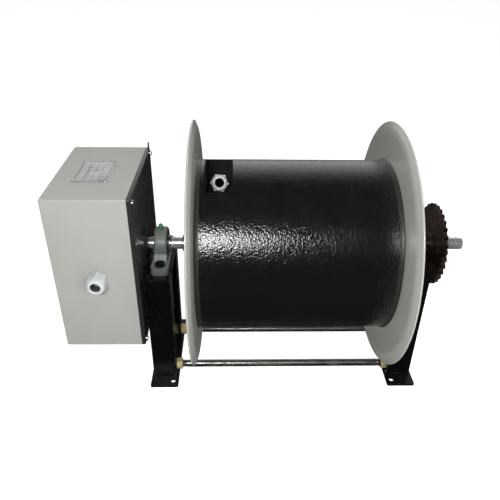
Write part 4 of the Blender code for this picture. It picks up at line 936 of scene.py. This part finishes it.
# ================================================================ tie rods and their nuts
# Two 16 mm bars that hold the stands apart, threaded at both ends and clamped by yellow zinc nuts on both
# sides of each stand.
NUT_FLATS, NUT_CHAMFER, NUT_MOUTH = 0.022, 0.0016, 0.0012
THREAD_LENGTH, THREAD_PITCH, THREAD_DEPTH, ROD_CHAMFER = 0.052, 0.002, 0.0011, 0.0018
ROD_STEEL = metal("tie_rod_steel", (0.30, 0.295, 0.28), 0.34, lines=700.0, stained=0.45,
                  stain=(0.13, 0.10, 0.075))
YELLOW_ZINC = metal("yellow_zinc", (0.95, 0.82, 0.40), 0.30, lines=500.0, stained=0.20,
                    stain=(0.42, 0.30, 0.16), stain_scale=120.0, metallic=0.6)
for where, side in (("front", -1), ("rear", 1)):
    low, high = reach(f"tie_rod_{where}")
    left_end, right_end = low.x + THREAD_LENGTH, high.x - THREAD_LENGTH
    profile = [(low.x, 0), (low.x, ROD_RADIUS - ROD_CHAMFER)]
    profile += threaded(low.x + 0.001, left_end, ROD_RADIUS, THREAD_PITCH, THREAD_DEPTH)
    profile += [(left_end + 0.001, ROD_RADIUS), (right_end - 0.001, ROD_RADIUS)]
    profile += threaded(high.x - 0.001, right_end, ROD_RADIUS, THREAD_PITCH, THREAD_DEPTH)[::-1]
    profile += [(high.x, ROD_RADIUS - ROD_CHAMFER), (high.x, 0)]
    rod_mesh = turned(profile, 48)
    bmesh.ops.translate(rod_mesh, vec=(0, side * ROD_Y, ROD_HEIGHT), verts=rod_mesh.verts)
    piece(f"tie_rod_{where}", rod_mesh, ROD_STEEL, "frame")
    for end in ("left", "right"):
        for place_of in ("inner", "outer"):
            label = f"tie_nut_{where}_{end}_{place_of}"
            nut_low, nut_high = reach(label)
            start, stop = nut_low.x, nut_high.x
            bore, mouth = ROD_RADIUS + 0.0001, ROD_RADIUS + NUT_MOUTH
            hole = turned([(start - THROUGH, 0), (start - THROUGH, mouth), (start, mouth),
                           (start + NUT_MOUTH, bore), (stop - NUT_MOUTH, bore), (stop, mouth),
                           (stop + THROUGH, mouth), (stop + THROUGH, 0)], 48)
            nut = cut(hex_bar(NUT_FLATS, start, stop, NUT_CHAMFER, both=True), hole)
            seed = len(label) + (end == "left") * 7 + (where == "front") * 3
            spin = Matrix.Rotation(Random(seed).random() * pi / 3, 4, "X")
            bmesh.ops.transform(nut, matrix=Matrix.Translation((0, side * ROD_Y, ROD_HEIGHT)) @ spin,
                                verts=nut.verts)
            piece(label, nut, YELLOW_ZINC, "frame", edge=0.0003, segments=2)


# ================================================================ slip-ring box
# Folded cover of 1.5 mm sheet in warm grey textured paint, open towards the drum, with a cable gland in its
# front. It is screwed through a rubber gasket to a black pan with a folded rim, fixed to the left stand.
COVER_SHEET, COVER_FOLD, COVER_LIP, PAN_SHEET, PAN_FOLD = 0.0015, 0.003, 0.016, 0.002, 0.0035
PAN_HOLE = 0.0263             # radius of the hole for the shaft and its seal
SCREW_HEAD_RADIUS, SCREW_WASHER_RADIUS, SCREW_RADIUS = 0.0044, 0.0065, 0.0025
SCREW_WASHER, SCREW_RIM, CROSS_DEPTH = 0.001, 0.0012, 0.0014    # washer, head's straight side, slot
CROSS_HALF = (0.0022, 0.0005)
TAB_HEIGHT, TAB_WIDTH, TAB_HOLE, TAB_ROOT = 0.015, 0.012, 0.003, 0.020
LOCKNUT_FLATS = 0.036
BOX_PAINT = paint("box_paint", (0.42, 0.425, 0.39), 0.42, 700.0, 0.00006, 0.5, dust=0.06, wear=0.15,
                  dust_tone=(0.46, 0.44, 0.38, 1.0), bare=(0.22, 0.20, 0.17, 1.0), uneven=0.04)
PAN_BLACK = paint("pan_paint", (0.024, 0.024, 0.025), 0.30, 300.0, 0.00012, 0.3, dust=0.06, wear=0.3,
                  specular=0.50)
BRIGHT_ZINC = metal("bright_zinc", (0.74, 0.75, 0.76), 0.20, lines=800.0, stained=0.10)


def folded_block(low, high, fold, steps=5):
    """Block with all its edges folded to a radius."""
    mesh = slab(low, high)
    bmesh.ops.bevel(mesh, geom=mesh.edges[:] + mesh.verts[:], offset=fold, segments=steps, profile=0.5,
                    affect="EDGES", clamp_overlap=True)
    return mesh


cover_low, cover_high = reach("ring_box_cover")
pan_low, pan_high = reach("back_plate")
outside = folded_block(cover_low, cover_high + Vector((0.02, 0, 0)), COVER_FOLD)
outside = common(outside, slab(cover_low - Vector((0.1, 0.1, 0.1)), (cover_high.x, 1, 1)))
sheet_in = Vector((COVER_SHEET, COVER_SHEET, COVER_SHEET))
room = folded_block(cover_low + sheet_in, cover_high - sheet_in, COVER_FOLD - COVER_SHEET)
mouth = slab((cover_high.x - THROUGH, cover_low.y + COVER_LIP, cover_low.z + COVER_LIP),
             (cover_high.x + THROUGH, cover_high.y - COVER_LIP, cover_high.z - COVER_LIP))
screws = [(name, (reach(name)[0] + reach(name)[1]) / 2) for name in
          (f"cover_screw_{level}_{where}" for level in ("lower", "upper") for where in ("front", "rear"))]
box_gland_low, box_gland_high = reach("box_gland_nut")
BOX_GLAND_SEAT = Vector(((box_gland_low.x + box_gland_high.x) / 2, cover_low.y,
                         (box_gland_low.z + box_gland_high.z) / 2))


def screw_holes(x):
    """Drills for the four screws, through a sheet at x."""
    return [drill(SCREW_RADIUS + GAP, (x, spot.y, spot.z), (1, 0, 0)) for _, spot in screws]


tools = [room, mouth, drill(GLAND_THREAD + GAP, BOX_GLAND_SEAT, (0, 1, 0)), *screw_holes(cover_high.x)]
piece("ring_box_cover", cut(outside, *tools), BOX_PAINT, "frame", edge=0.0003, segments=2)
gland("box", BOX_GLAND_SEAT, (0, -1, 0), "frame")
lock_low, lock_high = reach("box_gland_locknut")
locknut = cut(hex_bar(LOCKNUT_FLATS, 0, lock_high.y - lock_low.y, 0.0012, both=True),
              pin(GLAND_THREAD + GAP, (-THROUGH, 0, 0), (2 * THROUGH, 0, 0), 48))
piece("box_gland_locknut", aimed(locknut, (BOX_GLAND_SEAT.x, lock_low.y, BOX_GLAND_SEAT.z), (0, 1, 0)),
      WHITE_NYLON, "frame", edge=0.0004)

tray_high = Vector((pan_high.x, pan_high.y, cover_high.z))
tray = folded_block(pan_low - Vector((0.02, 0, 0)), tray_high, PAN_FOLD)
tray = common(tray, slab((pan_low.x, -1, -1), (1, 1, 1)))
tab_y, tab_half = pan_high.y - TAB_WIDTH, TAB_WIDTH / 2
tab_shoulder = TAB_HEIGHT - tab_half
tab_outline = [(-tab_half, -TAB_ROOT), (-tab_half, tab_shoulder)]
tab_outline += [(-tab_half * cos(pi * i / 10), tab_shoulder + tab_half * sin(pi * i / 10))
                for i in range(1, 10)]
tab_outline += [(tab_half, tab_shoulder), (tab_half, -TAB_ROOT)]
tab_points = [(tab_y + y, cover_high.z + z) for y, z in tab_outline]
tab = lofted([(pan_high.x - PAN_SHEET, tab_points), (pan_high.x - GAP, tab_points)])
hollow = folded_block(pan_low + Vector((-0.05, PAN_SHEET, PAN_SHEET)),
                      tray_high - Vector((PAN_SHEET, PAN_SHEET, PAN_SHEET)), PAN_FOLD - PAN_SHEET)
pan_tools = [hollow, drill(PAN_HOLE, (pan_high.x, 0, 0), (1, 0, 0), 64),
             drill(TAB_HOLE, (pan_high.x, tab_y, cover_high.z + TAB_HEIGHT / 2), (1, 0, 0), 24),
             *screw_holes(pan_high.x)]
piece("back_plate", cut(joined(tray, tab), *pan_tools), PAN_BLACK, "frame", edge=0.0003,
      segments=2)

for name, spot in screws:
    low, high = reach(name)
    start, washer_top, head_top = pan_high.x + GAP, pan_high.x + GAP + SCREW_WASHER, high.x
    washer = turned([(start, SCREW_RADIUS), (start, SCREW_WASHER_RADIUS), (washer_top, SCREW_WASHER_RADIUS),
                     (washer_top, SCREW_RADIUS)], 48)
    rim_top = washer_top + SCREW_RIM
    pan_head = [(washer_top, 0), (washer_top, SCREW_HEAD_RADIUS)]
    pan_head += [(rim_top + (head_top - washer_top - SCREW_RIM) * s, SCREW_HEAD_RADIUS * (0.35 + 0.65 * c))
                 for s, c in quarter(6)]
    pan_head.append((head_top, 0))
    slots = [slab((head_top - CROSS_DEPTH, -y, -z), (head_top + 0.001, y, z))
             for y, z in (CROSS_HALF, CROSS_HALF[::-1])]
    shank = turned([(low.x, 0), *threaded(low.x, washer_top - 0.0012, SCREW_RADIUS, 0.0008, 0.0004),
                    (washer_top + 0.0005, SCREW_RADIUS), (washer_top + 0.0005, 0)], 32)
    screw = together(washer, cut(turned(pan_head, 48), *slots), shank)
    spin = Matrix.Rotation(Random(name).random() * pi, 4, "X")
    bmesh.ops.transform(screw, matrix=Matrix.Translation((0, spot.y, spot.z)) @ spin, verts=screw.verts)
    piece(name, screw, BRIGHT_ZINC, "frame")


# ================================================================ name plate
# Anodised foil riveted to the box's top at its corners. A frame and ruled rows are printed on it; the rows
# are left blank.
FOIL = metal("name_plate_foil", (0.60, 0.60, 0.58), 0.36, lines=1500.0, stained=0.12)
PRINT = moulded("plate_print", (0.10, 0.10, 0.105), 0.5, depth=0.00001)
INK = 0.00012                 # height of the print above the foil
RULE = 0.0007                 # width of a printed line
ROWS, RULED = 9, 7            # rows that the frame has room for, and the ones that are ruled
COLUMNS = (-0.012, 0.014)     # upright lines, from the plate's middle
PLATE_CORNER, PRINT_MARGIN, RIVET_INSET = 0.003, 0.004, 0.0022
RIVET_RADIUS, RIVET_HEIGHT = 0.0016, 0.0009
plate_low, plate_high = reach("name_plate")
plate_mid = (plate_low + plate_high) / 2
plate_half = (plate_high - plate_low) / 2
foil = standing(rounded_plan(plate_half.x, plate_half.y, PLATE_CORNER), plate_low.z, plate_high.z,
                plate_mid.xy)
piece("name_plate", foil, FOIL, "frame", edge=0.0003, segments=2)
rules = []


def printed(x0, y0, x1, y1):
    """One printed bar on the plate, measured from the plate's middle."""
    rules.append(slab((plate_mid.x + x0, plate_mid.y + y0, plate_high.z - INK),
                      (plate_mid.x + x1, plate_mid.y + y1, plate_high.z + INK)))


frame_x, frame_y = plate_half.x - PRINT_MARGIN, plate_half.y - PRINT_MARGIN
for sign in (-1, 1):
    printed(sign * frame_x - RULE, -frame_y - RULE, sign * frame_x + RULE, frame_y + RULE)
    printed(-frame_x, sign * frame_y - RULE, frame_x, sign * frame_y + RULE)
for row in range(1, RULED + 1):
    y = -frame_y + 2 * frame_y * row / ROWS
    printed(-frame_x, y - RULE / 3, frame_x, y + RULE / 3)
for x in COLUMNS:
    printed(x, -frame_y, x + RULE, -frame_y + 2 * frame_y * RULED / ROWS)
piece("name_plate_print", together(rules[0], *rules[1:]), PRINT, "frame")
for number, (sx, sy) in enumerate(((-1, -1), (1, -1), (-1, 1), (1, 1)), 1):
    spot = Vector((plate_mid.x + sx * (plate_half.x - RIVET_INSET),
                   plate_mid.y + sy * (plate_half.y - RIVET_INSET), plate_high.z - 0.0002))
    rivet = turned([(0, 0), *((RIVET_HEIGHT * s, RIVET_RADIUS * c) for s, c in quarter(5)[:-1]),
                    (RIVET_HEIGHT, 0)], 24)
    piece(f"name_plate_rivet_{number}", aimed(rivet, spot, (0, 0, 1)), BRIGHT_ZINC, "frame")


# ================================================================ inside the box
# Four brass slip rings on an insulating sleeve turn with the shaft; carbon brushes on a bar and a terminal
# block stand still on the pan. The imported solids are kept, with their edges rounded.
BRASS = metal("ring_brass", (0.72, 0.50, 0.20), 0.16, lines=1600.0, stained=0.15, stain=(0.20, 0.12, 0.05))
INSULATOR = moulded("pressed_insulator", (0.33, 0.11, 0.04), 0.42, grain=500.0)
CARBON = moulded("brush_carbon", (0.030, 0.030, 0.034), 0.45, grain=1400.0, specular=0.6)


def kept(name, look, edge):
    """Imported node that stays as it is, with a material and rounded edges."""
    solid = frame["nodes"][name]
    solid.data.materials.clear()
    solid.data.materials.append(look)
    rounded_edges(solid, edge, 2).harden_normals = False


for name in ("slip_ring_core", "brush_holder", "terminal_block"):
    kept(name, INSULATOR, 0.0006)
for number in range(1, 5):
    kept(f"slip_ring_{number}", BRASS, 0.0005)
    kept(f"carbon_brush_{number}", CARBON, 0.0005)
for name in ("cover_gasket", "shaft_seal"):
    kept(name, BLACK_RUBBER, 0.0003)


# ================================================================ sprocket
# Plate sprocket with 32 hardened teeth for 15.875 mm chain, its teeth chamfered and its hub towards the
# right stand. It is oiled black, rubbed coppery brown by handling, and keyed and screwed to the shaft.
TEETH, CHAIN_PITCH, ROLLER = 32, 0.015875, 0.01016
SPROCKET_WIDTH, SPROCKET_HUB_RADIUS, HUB_FILLET = 0.0091, 0.020, 0.002
TOOTH_CHAMFER = (0.0022, 0.0025)    # along the shaft, and inside the pitch circle
RECESS_DEPTH, RECESS_RIM, RECESS_RING = 0.0012, 0.014, 0.004    # turned face between teeth and bore
HUB_SCREW_HOLE, HUB_SCREW, HUB_SCREW_SOCKET = 0.0032, 0.0029, 0.003
low, high = reach("sprocket")
sprocket_left, teeth_right = low.x, high.x
teeth_left = teeth_right - SPROCKET_WIDTH
pitch_radius = CHAIN_PITCH / 2 / sin(pi / TEETH)
TIP_RADIUS = max(high.z, high.y)


def tooth_outline(steps=7):
    """Sprocket outline: a round seat for each roller, hollow flanks and blunt tips."""
    points = []
    seat, seat_reach, half = ROLLER / 2 * 1.01, radians(62), pi / TEETH
    flank, shoulder = pitch_radius + 0.0004, TIP_RADIUS - 0.0006
    tip = ((0.72, flank), (0.86, shoulder), (1.0, TIP_RADIUS), (1.14, shoulder), (1.28, flank))
    for tooth in range(TEETH):
        middle = 2 * pi * tooth / TEETH
        for i in range(-steps, steps + 1):
            turn = seat_reach * i / steps
            out, aside = pitch_radius - seat * cos(turn), seat * sin(turn)
            points.append((middle + atan2(aside, out), hypot(aside, out)))
        points += [(middle + half * share, radius) for share, radius in tip]
    return [(radius * sin(turn), radius * cos(turn)) for turn, radius in points]


outline = tooth_outline()
blank = lofted([(teeth_left, outline), (teeth_right, outline)])
along, inward = TOOTH_CHAMFER
over = TIP_RADIUS + 0.0005
chamfer = turned([(teeth_left - 0.001, 0), (teeth_left - 0.001, pitch_radius - inward),
                  (teeth_left + along, over), (teeth_right - along, over),
                  (teeth_right + 0.001, pitch_radius - inward), (teeth_right + 0.001, 0)], 192)
teeth_plate = common(blank, chamfer)
fillet_radius = SPROCKET_HUB_RADIUS + HUB_FILLET
hub_body = turned([(sprocket_left, 0), (sprocket_left, SPROCKET_HUB_RADIUS - CHAMFER),
                   (sprocket_left + CHAMFER, SPROCKET_HUB_RADIUS),
                   (teeth_left - HUB_FILLET, SPROCKET_HUB_RADIUS), (teeth_left, fillet_radius),
                   (teeth_left + 0.001, fillet_radius), (teeth_left + 0.001, 0)], 96)
hub_screw_x = (sprocket_left + teeth_left) / 2
bore = pin(SHAFT_RADIUS + GAP, (sprocket_left - THROUGH, 0, 0), (teeth_right + THROUGH, 0, 0), 96)
key_way = slab((key_low.x - THROUGH, key_low.y - GAP, 0),
               (key_high.x + THROUGH, key_high.y + GAP, key_high.z + GAP))
screw_hole = pin(HUB_SCREW_HOLE, (hub_screw_x, 0, 0), (hub_screw_x, -2 * SPROCKET_HUB_RADIUS, 0), 32)
recess_floor, recess_open = teeth_right - RECESS_DEPTH, teeth_right + THROUGH
recess_inner, recess_outer = SPROCKET_HUB_RADIUS + RECESS_RING, pitch_radius - RECESS_RIM
recess = turned([(recess_floor, recess_inner), (recess_open, recess_inner), (recess_open, recess_outer),
                 (recess_floor, recess_outer)], 128)


def oiled_teeth(name):
    """Black oiled steel, rubbed to a reddish brown sheen, bright on the flanks that the chain touches."""
    look, tree, shader, place = new_look(name)
    marks = node(tree, "Group", {"Vector": place, "Lines": 520.0}, node_tree=TURNING)
    tone_lines = marks.node.outputs["Tone"]
    rust = ramp(tree, noise(tree, place, 46.0, 6.0, 0.7), 0.42, 0.66)
    bright = node(tree, "Group", {"Vector": place, "Radius": 0.0016, "Amount": 0.85}, node_tree=EDGE_WEAR)
    tone = mixed(tree, tone_lines, (0.085, 0.066, 0.056, 1.0), (0.14, 0.095, 0.072, 1.0))
    tone = mixed(tree, rust, tone, (0.050, 0.028, 0.020, 1.0))
    tone = mixed(tree, bright, tone, (0.20, 0.165, 0.14, 1.0))
    fill(tree, shader, {"Base Color": tone, "Metallic": ramp(tree, rust, 0, 1, 1.0, 0.55),
                        "Roughness": ramp(tree, rust, 0, 1, 0.34, 0.58),
                        "Normal": node(tree, "Bump", {"Height": marks, "Distance": 0.00006})})
    return look


OILED = oiled_teeth("oiled_sprocket_steel")
sprocket = cut(joined(teeth_plate, hub_body), bore, key_way, screw_hole, recess)
piece("sprocket", sprocket, OILED, "reel", edge=0.0004, segments=2)
sprocket_screw = cut(pin(HUB_SCREW, (hub_screw_x, -(SHAFT_RADIUS + GAP), 0),
                         (hub_screw_x, -(SPROCKET_HUB_RADIUS - 0.0008), 0), 32),
                     aimed(hex_block(HUB_SCREW_SOCKET, 0, 0.004),
                           (hub_screw_x, -(SPROCKET_HUB_RADIUS - 0.003), 0), (0, -1, 0)))
piece("sprocket_set_screw", sprocket_screw, DARK_BOLT, "reel")
